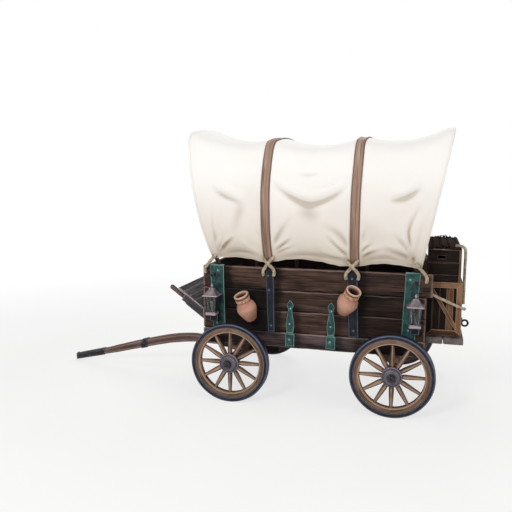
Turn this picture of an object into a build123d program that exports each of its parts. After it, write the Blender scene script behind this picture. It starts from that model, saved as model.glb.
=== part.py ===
from build123d import *
import os
from math import atan2, cos, degrees, hypot, radians, sin, sqrt

os.makedirs("parts", exist_ok=True)

# A light covered wagon: plank box on two wooden axles, bowed canvas bonnet, footboard at
# the front, two crates lashed on a platform at the rear, and a hinged drawing pole.
#
# Drawing frame, in mm: X forward from the middle of the wheelbase, Y to the wagon's left,
# Z up from the ground. The last lines move everything so that the origin is at the middle
# of the whole length.

# ------------------------------------------------------------------ driving dimensions
WHEELBASE = 1792
AXLE_FRONT = WHEELBASE / 2
AXLE_REAR = -WHEELBASE / 2

# wheels, each drawn about its own centre with Y pointing outboard
WHEEL_R = 450
WHEEL_CLEAR = 112  # from the sill's outer face to the tyre
TYRE_DEPTH = 45
TYRE_WIDTH = 100
TYRE_CHAMFER = 8
FELLOE_DEPTH = 61
FELLOE_WIDTH = 80
FELLOE_CHAMFER = 8
SPOKE_COUNT = 12
NAVE_R = 100
NAVE_WIDTH = 76
HUB_TUBE_R = 62
AXLE_ARM_R = 30
RUNNING = 0.05  # radial clearance of a running fit
SEAT = 0.3  # clearance between curved faces of pieces fixed together

# undercarriage
AXLE_DEPTH = 96
AXLE_HEIGHT = 110
AXLE_SHORT = 90  # the axle beam ends this far inside the wheel's middle plane
COLLAR_GAP = 1
BOLSTER_SHORT = 100  # the bolster ends this far inside the sill's outer face
BOLSTER_DEPTH = 120
TURN_PLATE_R = 190
TURN_PLATE_T = 12
KINGPIN_R = 18
REACH_WIDTH = 80
REACH_HEIGHT = 70
HOUND_THICK = 70
HOUND_WIDTH = 60
TONGUE_PIN_R = 14
TONGUE_PIVOT_X = 1215
TONGUE_PIVOT_Z = 405
TONGUE_WIDTH = 84
TONGUE_SIDE_GAP = 6

# box
BOX_FRONT = 1270
BOX_REAR = -1220
BOX_HALF = 792  # outer face of the side planks
PLANK_T = 40
PLANK_SEAM = 0.6
PLANK_CHAMFER = 7
SILL_PROUD = 8
SILL_T = 60
SILL_BOTTOM = 620
SILL_TOP = 793
PLANK_HEIGHTS = (244, 235, 253)  # bottom, middle, top
TOP_PLANK_OVERHANG = 60
FLOOR_T = 40
END_WALL_T = 40
IRON_T = 10

# bonnet
CANVAS_T = 8
BOW_THICK = 24
BOW_WIDTH = 50
BAND_T = 14
BAND_WIDTH = 100
CLOTH_GAP = 0.4

# rear load
PLATFORM_REAR = -1615
PLATFORM_TOP = 832
PLATFORM_T = 70
PLATFORM_SHORT = 100  # the platform ends this far inside the sill's outer face
CRATE_HALF = 600
CRATE_FRONT = -1222
CRATE_REAR = -1590
LOWER_CRATE_TOP = 1418
UPPER_CRATE_TOP = 1771
UPPER_CRATE_REAR = -1565
ROPE_R = 17

# faces that several pieces stand on
SILL_OUTER = BOX_HALF + SILL_PROUD
IRON_FACE = BOX_HALF + IRON_T
PLANK_INSIDE = BOX_HALF - PLANK_T
WHEEL_Y = SILL_OUTER + WHEEL_CLEAR + TYRE_WIDTH / 2  # middle plane of the wheel
AXLE_HALF = WHEEL_Y - AXLE_SHORT
BOLSTER_HALF = SILL_OUTER - BOLSTER_SHORT
PLATFORM_HALF = SILL_OUTER - PLATFORM_SHORT


# ------------------------------------------------------------------ helpers
def block(x0, x1, y0, y1, z0, z1):
    return Pos((x0 + x1) / 2, (y0 + y1) / 2, (z0 + z1) / 2) * Box(x1 - x0, y1 - y0, z1 - z0)


def side_plate(outline, y0, y1):
    """An outline of (x, z) points, as thick as y0 to y1."""
    face = make_face(Polyline(*[(x, y0, z) for x, z in outline], close=True))
    return extrude(face, amount=y1 - y0, dir=(0, 1, 0))


def plan_plate(outline, z0, z1):
    """An outline of (x, y) points, as thick as z0 to z1."""
    face = make_face(Polyline(*[(x, y, z0) for x, y in outline], close=True))
    return extrude(face, amount=z1 - z0, dir=(0, 0, 1))


def turned_y(profile):
    """A closed profile of (radius, y) points turned about the Y axis."""
    face = make_face(Polyline(*[(r, y, 0) for r, y in profile], close=True))
    return revolve(face, axis=Axis.Y)


def turned_z(profile):
    """A closed profile of (radius, z) points turned about the Z axis."""
    face = make_face(Polyline(*[(r, 0, z) for r, z in profile], close=True))
    return revolve(face, axis=Axis.Z)


def rod(start, end, radius):
    """A round bar from one point to another."""
    path = Vector(*end) - Vector(*start)
    return Solid.make_cylinder(radius, path.length, Plane(origin=start, z_dir=path))


def mirrored(shape):
    return mirror(shape, about=Plane.XZ)


def pair(shape):
    return [shape, mirrored(shape)]


def chamfered_section(x, half_width, z_low, z_high, cut):
    """An eight-sided section in a plane across X."""
    w, a, b, c = half_width, z_low, z_high, cut
    points = [(-w, a + c), (-w + c, a), (w - c, a), (w, a + c)]
    points += [(w, b - c), (w - c, b), (-w + c, b), (-w, b - c)]
    return make_face(Polyline(*[(x, y, z) for y, z in points], close=True))


parts = {}


def add(name, *shapes):
    parts[name] = [solid for shape in shapes for solid in shape.solids()]


# ------------------------------------------------------------------ wheels
def tyre():
    outer, inner, half, cut = WHEEL_R, WHEEL_R - TYRE_DEPTH, TYRE_WIDTH / 2, TYRE_CHAMFER
    return turned_y([(inner, -half), (outer - cut, -half), (outer, -half + cut),
                     (outer, half - cut), (outer - cut, half), (inner, half)])


def spoke():
    """One tapered spoke, standing up along +Z from the nave to the felloe."""
    inner_r = WHEEL_R - TYRE_DEPTH - FELLOE_DEPTH
    # radius, width round the wheel, thickness along the axle, corner cut
    table = [(NAVE_R - 8, 44, 52, 9), (NAVE_R + 45, 58, 50, 13), (inner_r + 6, 36, 36, 8)]
    sections = []
    for radius, width, thick, cut in table:
        w, t, c = width / 2, thick / 2, cut
        points = [(-w, -t + c), (-w + c, -t), (w - c, -t), (w, -t + c),
                  (w, t - c), (w - c, t), (-w + c, t), (-w, t - c)]
        sections.append(make_face(Polyline(*[(x, y, radius) for x, y in points], close=True)))
    return loft(sections, ruled=True)


def wooden_wheel():
    """Felloe, twelve spokes and nave."""
    outer = WHEEL_R - TYRE_DEPTH - SEAT
    inner = WHEEL_R - TYRE_DEPTH - FELLOE_DEPTH
    half, cut = FELLOE_WIDTH / 2, FELLOE_CHAMFER
    felloe = turned_y([(inner, -half + cut), (inner + cut, -half), (outer, -half),
                       (outer, half), (inner + cut, half), (inner, half - cut)])
    nave_half, bore = NAVE_WIDTH / 2, HUB_TUBE_R + SEAT
    wood = turned_y([(bore, -nave_half), (NAVE_R, -nave_half), (NAVE_R, nave_half),
                     (bore, nave_half)])
    one = spoke()
    for i in range(SPOKE_COUNT):
        wood += Rot(0, 360 / SPOKE_COUNT * i, 0) * one
    return wood + felloe


HUB_OUT = 96  # outer end of the hub from the wheel's middle
HUB_IN = -58
NUT_RECESS = 10
NUT_OUT = 124


def hub():
    """Iron hub: a flanged tube through the nave, stepped outside, bored for the axle arm."""
    bore, face = AXLE_ARM_R + RUNNING, NAVE_WIDTH / 2
    return turned_y([
        (bore, HUB_IN), (92, HUB_IN), (100, HUB_IN + 8), (100, -face), (HUB_TUBE_R, -face),
        (HUB_TUBE_R, face), (112, face), (112, face + 12), (104, face + 20), (84, face + 20),
        (84, face + 34), (76, face + 42), (64, face + 42), (60, HUB_OUT),
        (44, HUB_OUT), (44, HUB_OUT - NUT_RECESS), (bore, HUB_OUT - NUT_RECESS)])


def axle_arm():
    """Iron axle arm with its shoulder, collar and end nut, about the wheel's centre."""
    inner = AXLE_HALF - WHEEL_Y
    collar = HUB_IN - COLLAR_GAP
    nut_in = HUB_OUT - NUT_RECESS + COLLAR_GAP
    arm = turned_y([(0, inner), (46, inner), (46, inner + 14), (52, inner + 14),
                    (52, collar), (AXLE_ARM_R, collar), (AXLE_ARM_R, nut_in + 5), (0, nut_in + 5)])
    nut = extrude(Plane(origin=(0, nut_in, 0), x_dir=(1, 0, 0), z_dir=(0, 1, 0))
                  * RegularPolygon(33, 6), amount=NUT_OUT - nut_in - 6)
    stub = turned_y([(0, nut_in), (20, nut_in), (20, NUT_OUT - 4), (16, NUT_OUT), (0, NUT_OUT)])
    return arm + nut + stub


wheel_pieces = {"tyre": tyre(), "spoked_wheel": wooden_wheel(), "hub": hub()}
arm_piece = axle_arm()
# corner name, axle x, side
CORNERS = [("front_left", AXLE_FRONT, 1), ("front_right", AXLE_FRONT, -1),
           ("rear_left", AXLE_REAR, 1), ("rear_right", AXLE_REAR, -1)]
arms = {AXLE_FRONT: [], AXLE_REAR: []}
for corner, axle_x, side in CORNERS:
    for kind, piece in wheel_pieces.items():
        outboard = piece if side > 0 else mirrored(piece)
        add(f"{corner}_{kind}", Pos(axle_x, side * WHEEL_Y, WHEEL_R) * outboard)
    outboard = arm_piece if side > 0 else mirrored(arm_piece)
    arms[axle_x].append(Pos(axle_x, side * WHEEL_Y, WHEEL_R) * outboard)
add("front_axle_arms", *arms[AXLE_FRONT])
add("rear_axle_arms", *arms[AXLE_REAR])

# ------------------------------------------------------------------ undercarriage
AXLE_TOP = WHEEL_R + AXLE_HEIGHT / 2
AXLE_BOTTOM = WHEEL_R - AXLE_HEIGHT / 2
PLATE_GAP = 1  # running gap between the turning plate and the bolster


def axle_beam(axle_x):
    beam = block(axle_x - AXLE_DEPTH / 2, axle_x + AXLE_DEPTH / 2, -AXLE_HALF, AXLE_HALF,
                 AXLE_BOTTOM, AXLE_TOP)
    return chamfer(beam.edges().filter_by(Axis.Y), 10)


kingpin_axis = Pos(AXLE_FRONT, 0, 0)
plate_top = AXLE_TOP + TURN_PLATE_T
bolster_bottom = plate_top + PLATE_GAP
running_bore = kingpin_axis * Pos(0, 0, WHEEL_R) * Cylinder(KINGPIN_R + RUNNING, 400)
seated_bore = kingpin_axis * Pos(0, 0, SILL_BOTTOM) * Cylinder(KINGPIN_R + SEAT, 400)
add("front_axle_beam", axle_beam(AXLE_FRONT) - running_bore)
plate = kingpin_axis * Pos(0, 0, (AXLE_TOP + plate_top) / 2) * Cylinder(TURN_PLATE_R, TURN_PLATE_T)
add("turning_plate", plate - running_bore)

front_bolster = block(AXLE_FRONT - BOLSTER_DEPTH / 2, AXLE_FRONT + BOLSTER_DEPTH / 2,
                      -BOLSTER_HALF, BOLSTER_HALF, bolster_bottom, SILL_BOTTOM)
add("front_bolster", chamfer(front_bolster.edges().filter_by(Axis.Y), 8) - seated_bore)
KINGPIN_NUT_R, KINGPIN_NUT_T = 34, 20
kingpin_end = AXLE_BOTTOM - 2
kingpin = rod((AXLE_FRONT, 0, kingpin_end - KINGPIN_NUT_T), (AXLE_FRONT, 0, SILL_BOTTOM), KINGPIN_R)
nut_shape = Pos(AXLE_FRONT, 0, kingpin_end - KINGPIN_NUT_T) * RegularPolygon(KINGPIN_NUT_R, 6)
add("kingpin", kingpin + extrude(nut_shape, amount=KINGPIN_NUT_T))

rear_bolster = block(AXLE_REAR - BOLSTER_DEPTH / 2, AXLE_REAR + BOLSTER_DEPTH / 2,
                     -BOLSTER_HALF, BOLSTER_HALF, AXLE_TOP, SILL_BOTTOM)
add("rear_axle_beam", axle_beam(AXLE_REAR))
add("rear_bolster", chamfer(rear_bolster.edges().filter_by(Axis.Y), 8))
reach_top = SILL_BOTTOM - 16
add("reach_pole", block(AXLE_REAR + BOLSTER_DEPTH / 2, AXLE_FRONT - BOLSTER_DEPTH / 2,
                        -REACH_WIDTH / 2, REACH_WIDTH / 2, reach_top - REACH_HEIGHT, reach_top))

# hounds: two arms in front that hold the drawing pole, and a frame behind the axle
hound_low = TONGUE_PIVOT_Z - HOUND_THICK / 2
hound_high = TONGUE_PIVOT_Z + HOUND_THICK / 2
hound_in = TONGUE_WIDTH / 2 + TONGUE_SIDE_GAP
hound_out = hound_in + HOUND_WIDTH
axle_face = AXLE_DEPTH / 2
HOUND_SPREAD = 300
pin_bore = Pos(TONGUE_PIVOT_X, 0, TONGUE_PIVOT_Z) * Rot(90, 0, 0) * Cylinder(TONGUE_PIN_R + SEAT, 400)
front_hound = plan_plate([(AXLE_FRONT + axle_face, HOUND_SPREAD), (TONGUE_PIVOT_X - 90, hound_out),
                          (TONGUE_PIVOT_X + 60, hound_out), (TONGUE_PIVOT_X + 60, hound_in),
                          (TONGUE_PIVOT_X - 110, hound_in),
                          (AXLE_FRONT + axle_face, HOUND_SPREAD - 80)], hound_low, hound_high)
rear_frame = plan_plate([(AXLE_FRONT - axle_face, HOUND_SPREAD), (AXLE_FRONT - 380, 160),
                         (AXLE_FRONT - 380, -160), (AXLE_FRONT - axle_face, -HOUND_SPREAD),
                         (AXLE_FRONT - axle_face, -HOUND_SPREAD + 80), (AXLE_FRONT - 310, -100),
                         (AXLE_FRONT - 310, 100), (AXLE_FRONT - axle_face, HOUND_SPREAD - 80)],
                        hound_low, hound_high)
add("hounds", *pair(front_hound - pin_bore), rear_frame)
add("tongue_pin", rod((TONGUE_PIVOT_X, -hound_out - 16, TONGUE_PIVOT_Z),
                      (TONGUE_PIVOT_X, hound_out + 2, TONGUE_PIVOT_Z), TONGUE_PIN_R)
    + rod((TONGUE_PIVOT_X, hound_out + 0.5, TONGUE_PIVOT_Z),
          (TONGUE_PIVOT_X, hound_out + 14, TONGUE_PIVOT_Z), 24))

# ------------------------------------------------------------------ drawing pole
POLE_CUT = 14
CAP_START = 2990
TIP_X = 3420
CAP_WALL = 7
# x, top, bottom, width
POLE = [(1160, 446, 364, 84), (1405, 457, 374, 84), (1680, 486, 382, 88), (2035, 445, 336, 88),
        (2500, 330, 226, 84), (2760, 256, 160, 80), (CAP_START - 20, 194, 112, 74)]
pole_sections = [chamfered_section(x, width / 2, low, high, POLE_CUT)
                 for x, high, low, width in POLE]
pole_sections.append(chamfered_section(TIP_X - 30, 30, 17, 86, POLE_CUT))
pole = loft(pole_sections, ruled=True)
tongue_bore = Pos(TONGUE_PIVOT_X, 0, TONGUE_PIVOT_Z) * Rot(90, 0, 0) * Cylinder(TONGUE_PIN_R + RUNNING, 400)
# holes down through the pole: for the doubletree's pin near the hounds, and through cap and
# pole for the neck yoke's pin near the tip
DOUBLETREE_X = TONGUE_PIVOT_X + 245
DOUBLETREE_R = 14
doubletree_bore = Pos(DOUBLETREE_X, 0, TONGUE_PIVOT_Z) * Cylinder(DOUBLETREE_R, 400)
YOKE_X = TIP_X - 120
YOKE_R = 13
yoke_bore = Pos(YOKE_X, 0, 60) * Cylinder(YOKE_R, 400)
add("tongue_pole", pole - tongue_bore - doubletree_bore - yoke_bore)


def pole_sleeve(x0, x1, grow, edge=POLE_CUT):
    """The pole's own outline between two stations, grown by the given amount."""
    sections = []
    stations = POLE + [(TIP_X - 30, 86, 17, 60)]
    for x in (x0, x1):
        for (xa, ta, ba, wa), (xb, tb, bb, wb) in zip(stations, stations[1:]):
            if xa <= x <= xb:
                f = (x - xa) / (xb - xa)
                top, low, width = ta + f * (tb - ta), ba + f * (bb - ba), wa + f * (wb - wa)
                sections.append(chamfered_section(x, width / 2 + grow, low - grow, top + grow, edge))
                break
    return loft(sections, ruled=True)


cap_outside = loft([chamfered_section(CAP_START, 46, 104, 200, 14),
                    chamfered_section(TIP_X, 38, 0, 96, 14)], ruled=True)
cap_inside = pole_sleeve(CAP_START - 15, TIP_X - 30, SEAT)
add("tongue_cap", cap_outside - cap_inside - yoke_bore)
BAND_X = 2390
band_outside = pole_sleeve(BAND_X - 45, BAND_X + 45, 8)
add("tongue_band", band_outside - pole_sleeve(BAND_X - 50, BAND_X + 50, SEAT))

# ------------------------------------------------------------------ box
sill = block(BOX_REAR, BOX_FRONT, SILL_OUTER - SILL_T, SILL_OUTER, SILL_BOTTOM, SILL_TOP)
sill = chamfer(sill.edges().filter_by(Axis.X), PLANK_CHAMFER)
add("left_sill", sill)
add("right_sill", mirrored(sill))

planks = []
plank_z = SILL_TOP
for level, height in enumerate(PLANK_HEIGHTS):
    top_level = level == len(PLANK_HEIGHTS) - 1
    rear = BOX_REAR - TOP_PLANK_OVERHANG if top_level else BOX_REAR
    low = plank_z + (PLANK_SEAM if level else 0)
    plank = block(rear, BOX_FRONT, BOX_HALF - PLANK_T, BOX_HALF, low, plank_z + height)
    planks.append(chamfer(plank.edges().filter_by(Axis.X), PLANK_CHAMFER))
    plank_z += height
BOX_TOP = plank_z
add("left_planks", *planks)
add("right_planks", *[mirrored(plank) for plank in planks])

inside = SILL_OUTER - SILL_T
add("floor_boards", block(BOX_REAR + END_WALL_T, BOX_FRONT - END_WALL_T, -inside, inside,
                          SILL_BOTTOM, SILL_BOTTOM + FLOOR_T))
END_WALL_TOP = 1515
add("front_wall", block(BOX_FRONT - END_WALL_T, BOX_FRONT, -inside, inside, SILL_BOTTOM, END_WALL_TOP))
add("rear_wall", block(BOX_REAR, BOX_REAR + END_WALL_T, -inside, inside, SILL_BOTTOM, END_WALL_TOP))

# ------------------------------------------------------------------ ironwork on the sides
IRON_TOP = BOX_TOP + IRON_T


def strap(top_a, top_b, low_a, low_b, z_low):
    """A flat iron on the planks' outer face, hooked over the top edge of the box."""
    plate = side_plate([(top_a, IRON_TOP), (top_b, IRON_TOP), (low_b, z_low), (low_a, z_low)],
                       BOX_HALF, IRON_FACE)
    hook = block(min(top_a, top_b), max(top_a, top_b), BOX_HALF - PLANK_T, BOX_HALF + 1, BOX_TOP, IRON_TOP)
    return plate + hook


# top rear x, top front x, foot rear x, foot front x
CORNER_IRONS = [(1023, 1185, 1000, 1150), (-1153, -998, -1116, -971)]
STRAP_IRONS = [(437, 529, 423, 497), (-491, -381, -516, -414)]
add("corner_irons", *[iron for row in CORNER_IRONS for iron in pair(strap(*row, SILL_TOP + 6))])
add("strap_irons", *[iron for row in STRAP_IRONS for iron in pair(strap(*row, SILL_TOP + 6))])

# pointed irons: a lance head on the planks, stepped out over the sill below
# half width, z
LANCE = [(6, 1165), (24, 1140), (36, 1118), (36, 1100), (20, 1070), (24, 1030), (42, 930),
         (46, 870), (38, 815), (38, SILL_TOP + 8)]
LANCE_FOOT_HALF = 52
LANCE_FOOT_LOW = 645
lances = []
for lance_x in (244, -216):
    outline = [(lance_x + w, z) for w, z in LANCE] + [(lance_x - w, z) for w, z in reversed(LANCE)]
    head = side_plate(outline, BOX_HALF, IRON_FACE)
    foot = block(lance_x - LANCE_FOOT_HALF, lance_x + LANCE_FOOT_HALF, SILL_OUTER,
                 SILL_OUTER + IRON_T, LANCE_FOOT_LOW, SILL_TOP - 6)
    shelf = block(lance_x - 38, lance_x + 38, BOX_HALF, SILL_OUTER + IRON_T, SILL_TOP, SILL_TOP + 10)
    joint = block(lance_x - 38, lance_x + 38, SILL_OUTER, SILL_OUTER + IRON_T, SILL_TOP - 8, SILL_TOP + 10)
    lances += pair(head + shelf + joint + foot)
add("lance_irons", *lances)

# ------------------------------------------------------------------ bonnet
CANVAS_BOTTOM = 1600
# The arch in its own leaning plane is three tangent arcs: side, shoulder and crown.
FOOT_Y = BOX_HALF + 20
SIDE_Y = FOOT_Y + 180  # widest point
SHOULDER_Y = FOOT_Y + 38
SIDE_RISE = 0.425  # heights of those two points, as shares of the rise to the ridge
SHOULDER_RISE = 0.83
CROWN_R = 3600
SHOULDER_R = 300
# x at the foot, x at the ridge, ridge z
FRONT_ARCH = (1140, 1462, 3085)
BAND_ARCHES = [(487, 496, 2976), (-464, -486, 2978)]
REAR_ARCH = (-1155, -1450, 3075)
SLACK_ARCHES = [(830, 940, 2955), (20, 12, 2900), (-800, -890, 2945)]


def moved_arch(arch, step):
    foot_x, ridge_x, ridge_z = arch
    return (foot_x + step, ridge_x + step, ridge_z)


def circle_through(a, b, c):
    """Centre and radius of the circle through three (y, s) points."""
    (ay, az), (by, bz), (cy, cz) = a, b, c
    d = 2 * (ay * (bz - cz) + by * (cz - az) + cy * (az - bz))
    uy = ((ay**2 + az**2) * (bz - cz) + (by**2 + bz**2) * (cz - az) + (cy**2 + cz**2) * (az - bz)) / d
    uz = ((ay**2 + az**2) * (cy - by) + (by**2 + bz**2) * (ay - cy) + (cy**2 + cz**2) * (by - ay)) / d
    return uy, uz, hypot(ay - uy, az - uz)


def arch_geometry(arch, inset):
    """Plane of the arch, and its left half at an inset: foot, side, joint, joint and ridge points."""
    foot_x, ridge_x, ridge_z = arch
    length = hypot(ridge_x - foot_x, ridge_z - CANVAS_BOTTOM)
    lean = ((ridge_x - foot_x) / length, 0, (ridge_z - CANVAS_BOTTOM) / length)
    plane = Plane(origin=(foot_x, 0, CANVAS_BOTTOM), x_dir=(0, 1, 0),
                  z_dir=Vector(0, 1, 0).cross(Vector(*lean)))
    side_y, side_s, side_r = circle_through((FOOT_Y, 0), (SIDE_Y, SIDE_RISE * length),
                                            (SHOULDER_Y, SHOULDER_RISE * length))
    crown_s = length - CROWN_R
    # centre of the shoulder arc, tangent inside the side circle and the crown circle
    from_side, from_crown = side_r - SHOULDER_R, CROWN_R - SHOULDER_R
    gap = hypot(side_y, side_s - crown_s)
    along = (from_side**2 - from_crown**2 + gap**2) / (2 * gap)
    across = sqrt(from_side**2 - along**2)
    dir_y, dir_s = -side_y / gap, (crown_s - side_s) / gap
    options = [(side_y + along * dir_y + sign * across * dir_s,
                side_s + along * dir_s - sign * across * dir_y) for sign in (1, -1)]
    knee_y, knee_s = max(options, key=lambda centre: centre[0])

    def on(centre, toward, radius):
        ray = hypot(toward[0] - centre[0], toward[1] - centre[1])
        return (centre[0] + radius * (toward[0] - centre[0]) / ray,
                centre[1] + radius * (toward[1] - centre[1]) / ray)

    r1, r2, r3 = side_r - inset, SHOULDER_R - inset, CROWN_R - inset
    foot = (side_y + sqrt(r1**2 - side_s**2), 0)
    low_joint = on((side_y, side_s), (knee_y, knee_s), r1)
    high_joint = on((0, crown_s), (knee_y, knee_s), r3)
    middle = ((low_joint[0] + high_joint[0]) / 2, (low_joint[1] + high_joint[1]) / 2)
    side = (side_y + r1, side_s)
    return plane, [foot, side, low_joint, on((knee_y, knee_s), middle, r2), high_joint, (0, crown_s + r3)]


def arch_edges(points):
    """The arch from the left foot over the ridge to the right foot, as five arcs."""
    foot, side, low_joint, knee, high_joint, ridge = points
    across = [(-y, s) for y, s in points]
    return [ThreePointArc(foot, side, low_joint), ThreePointArc(low_joint, knee, high_joint),
            ThreePointArc(high_joint, ridge, across[4]), ThreePointArc(across[4], across[3], across[2]),
            ThreePointArc(across[2], across[1], across[0])]


def arch_face(arch, inset_out, inset_in):
    """A thin arch face between two insets, in its leaning plane."""
    plane, outer = arch_geometry(arch, inset_out)
    inner = arch_geometry(arch, inset_in)[1]
    feet = [Line(outer[0], inner[0]), Line((-outer[0][0], 0), (-inner[0][0], 0))]
    return plane * make_face(arch_edges(outer) + arch_edges(inner) + feet)


def along_x(face, width):
    """A face thickened along X, equally both ways."""
    return extrude(face, amount=width / 2, dir=(1, 0, 0), both=True)


# the cloth lies flat over each bow, and sags between them
END_FLAT = BOW_WIDTH + 20
BAND_FLAT = BAND_WIDTH / 2 + 4
cloth_arches = [FRONT_ARCH, moved_arch(FRONT_ARCH, -END_FLAT), SLACK_ARCHES[0],
                moved_arch(BAND_ARCHES[0], BAND_FLAT), moved_arch(BAND_ARCHES[0], -BAND_FLAT),
                SLACK_ARCHES[1],
                moved_arch(BAND_ARCHES[1], BAND_FLAT), moved_arch(BAND_ARCHES[1], -BAND_FLAT),
                SLACK_ARCHES[2], moved_arch(REAR_ARCH, END_FLAT), REAR_ARCH]
add("canvas_cover", loft([arch_face(arch, 0, CANVAS_T) for arch in cloth_arches], ruled=True))

bow_out = CANVAS_T + CLOTH_GAP
bow_in = bow_out + BOW_THICK
bow_leg_out = PLANK_INSIDE - SEAT
BOW_FOOT = 1250  # bottom of the bows, inside the box


def bow(arch):
    """A bent bow: the arch, and legs that pass inside the top planks."""
    plane, outer = arch_geometry(arch, bow_out)
    inner = arch_geometry(arch, bow_in)[1]
    stretch = hypot(arch[1] - arch[0], arch[2] - CANVAS_BOTTOM) / (arch[2] - CANVAS_BOTTOM)
    bend_low, low = (IRON_TOP + 8 - CANVAS_BOTTOM) * stretch, (BOW_FOOT - CANVAS_BOTTOM) * stretch
    leg = [(outer[0][0], 0), (bow_leg_out, bend_low), (bow_leg_out, low),
           (bow_leg_out - BOW_THICK, low), (bow_leg_out - BOW_THICK, bend_low), (inner[0][0], 0)]
    edges = arch_edges(outer) + arch_edges(inner)
    for sign in (1, -1):
        edges += [Line((sign * ya, sa), (sign * yb, sb)) for (ya, sa), (yb, sb) in zip(leg, leg[1:])]
    return along_x(plane * make_face(edges), BOW_WIDTH)


end_step = BOW_WIDTH / 2 + 10
add("bows", bow(moved_arch(FRONT_ARCH, -end_step)), *[bow(arch) for arch in BAND_ARCHES],
    bow(moved_arch(REAR_ARCH, end_step)))
add("cover_bands", *[along_x(arch_face(arch, -BAND_T - CLOTH_GAP, -CLOTH_GAP), BAND_WIDTH)
                     for arch in BAND_ARCHES])

# ------------------------------------------------------------------ footboard
FOOT_UNDER = (BOX_FRONT, 890)  # where its lower edge leaves the box
FOOT_RUN = (0.81, 0.586)  # direction up and forward, x and z
CHEEK_LENGTH = 283
CHEEK_WIDTH = 100
CHEEK_T = 20
CHEEK_STRIP = 62  # narrower strip beyond the cheek's step
CHEEK_STEP = 10
RAIL_R = 30
RAIL_LENGTH = 556
PANEL_T = 26
PANEL_LENGTH = 410


def on_slope(along, across):
    ux, uz = FOOT_RUN
    return (FOOT_UNDER[0] + along * ux - across * uz, FOOT_UNDER[1] + along * uz + across * ux)


def slope_at_box(across):
    """The point at the box's front face, a distance up from the lower edge."""
    ux, uz = FOOT_RUN
    return on_slope(across * uz / ux, across)


cheek = side_plate([slope_at_box(0), on_slope(CHEEK_LENGTH, 0), on_slope(CHEEK_LENGTH, CHEEK_STEP),
                    on_slope(CHEEK_LENGTH + CHEEK_STRIP, CHEEK_STEP),
                    on_slope(CHEEK_LENGTH + CHEEK_STRIP, CHEEK_WIDTH),
                    slope_at_box(CHEEK_WIDTH)], BOX_HALF - CHEEK_T, BOX_HALF)
add("footboard_cheeks", *pair(cheek))
rail_y = BOX_HALF - CHEEK_T - RAIL_R - SEAT
rail_across = CHEEK_WIDTH - PANEL_T - RAIL_R - SEAT
rail_start = on_slope(rail_across + RAIL_R, rail_across)
rail_end = on_slope(RAIL_LENGTH, rail_across)
rail = rod((rail_start[0], rail_y, rail_start[1]), (rail_end[0], rail_y, rail_end[1]), RAIL_R)
rail = fillet(rail.edges().filter_by(GeomType.CIRCLE).sort_by(Axis.X)[-1], 12)
rail -= block(0, BOX_FRONT, 0, BOX_HALF, 0, BOX_TOP)
add("footboard_rails", *pair(rail))
panel_low = CHEEK_WIDTH - PANEL_T
add("footboard", side_plate([slope_at_box(panel_low), on_slope(PANEL_LENGTH, panel_low),
                             on_slope(PANEL_LENGTH, CHEEK_WIDTH), slope_at_box(CHEEK_WIDTH)],
                            -(BOX_HALF - CHEEK_T - SEAT), BOX_HALF - CHEEK_T - SEAT))

# ------------------------------------------------------------------ rear platform and crates
platform_low = PLATFORM_TOP - PLATFORM_T
crack = (CRATE_REAR + BOX_REAR) / 2
platform = [block(PLATFORM_REAR, crack - 1, -PLATFORM_HALF, PLATFORM_HALF, platform_low, PLATFORM_TOP),
            block(crack, BOX_REAR, -PLATFORM_HALF, PLATFORM_HALF, platform_low, PLATFORM_TOP)]
add("rear_platform", *[chamfer(board.edges().filter_by(Axis.Y), 6) for board in platform])
KNEE_Y = PLATFORM_HALF - 450
knee = side_plate([(BOX_REAR, SILL_BOTTOM + 45), (BOX_REAR, platform_low), (PLATFORM_REAR + 70, platform_low),
                   (PLATFORM_REAR + 70, platform_low - 24), (BOX_REAR - 50, SILL_BOTTOM + 45)],
                  KNEE_Y - 25, KNEE_Y + 25)
add("platform_knees", *pair(knee))

FRAME_W = 62  # width of the crate's face members
FRAME_T = 22
CRATE_WALL = 16


def crate_frame_side():
    """Mitred frame of the crate's end, with a corner-to-corner brace, at y from 0 outward."""
    low, high, near, far = PLATFORM_TOP, LOWER_CRATE_TOP, CRATE_FRONT, CRATE_REAR
    frame = side_plate([(far, low), (near, low), (near, high), (far, high)], 0, FRAME_T)
    window = side_plate([(far + FRAME_W, low + FRAME_W), (near - FRAME_W, low + FRAME_W),
                         (near - FRAME_W, high - FRAME_W), (far + FRAME_W, high - FRAME_W)],
                        -1, FRAME_T + 1)
    brace = side_plate([(far + FRAME_W, low + FRAME_W), (far + FRAME_W, low + FRAME_W + 75),
                        (near - FRAME_W, high - FRAME_W), (near - FRAME_W, high - FRAME_W - 75)],
                       4, FRAME_T - 3)
    return frame - window + brace


crate_in = CRATE_HALF - FRAME_T
shell = block(CRATE_REAR + FRAME_T, CRATE_FRONT, -crate_in, crate_in, PLATFORM_TOP, LOWER_CRATE_TOP)
hollow = block(CRATE_REAR + FRAME_T + CRATE_WALL, CRATE_FRONT - CRATE_WALL, -crate_in + CRATE_WALL,
               crate_in - CRATE_WALL, PLATFORM_TOP + CRATE_WALL, LOWER_CRATE_TOP + 1)
add("lower_crate_box", shell - hollow)
rear_frame_plate = block(CRATE_REAR, CRATE_REAR + FRAME_T, -crate_in, crate_in, PLATFORM_TOP, LOWER_CRATE_TOP)
bays = 3
bay = (2 * crate_in - (bays + 1) * FRAME_W) / bays
for i in range(bays):
    y0 = -crate_in + FRAME_W + i * (bay + FRAME_W)
    rear_frame_plate -= block(CRATE_REAR - 1, CRATE_REAR + FRAME_T + 1, y0, y0 + bay,
                              PLATFORM_TOP + FRAME_W, LOWER_CRATE_TOP - FRAME_W)
side_frame = Pos(0, crate_in, 0) * crate_frame_side()
add("lower_crate_frame", *pair(side_frame), rear_frame_plate)

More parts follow.
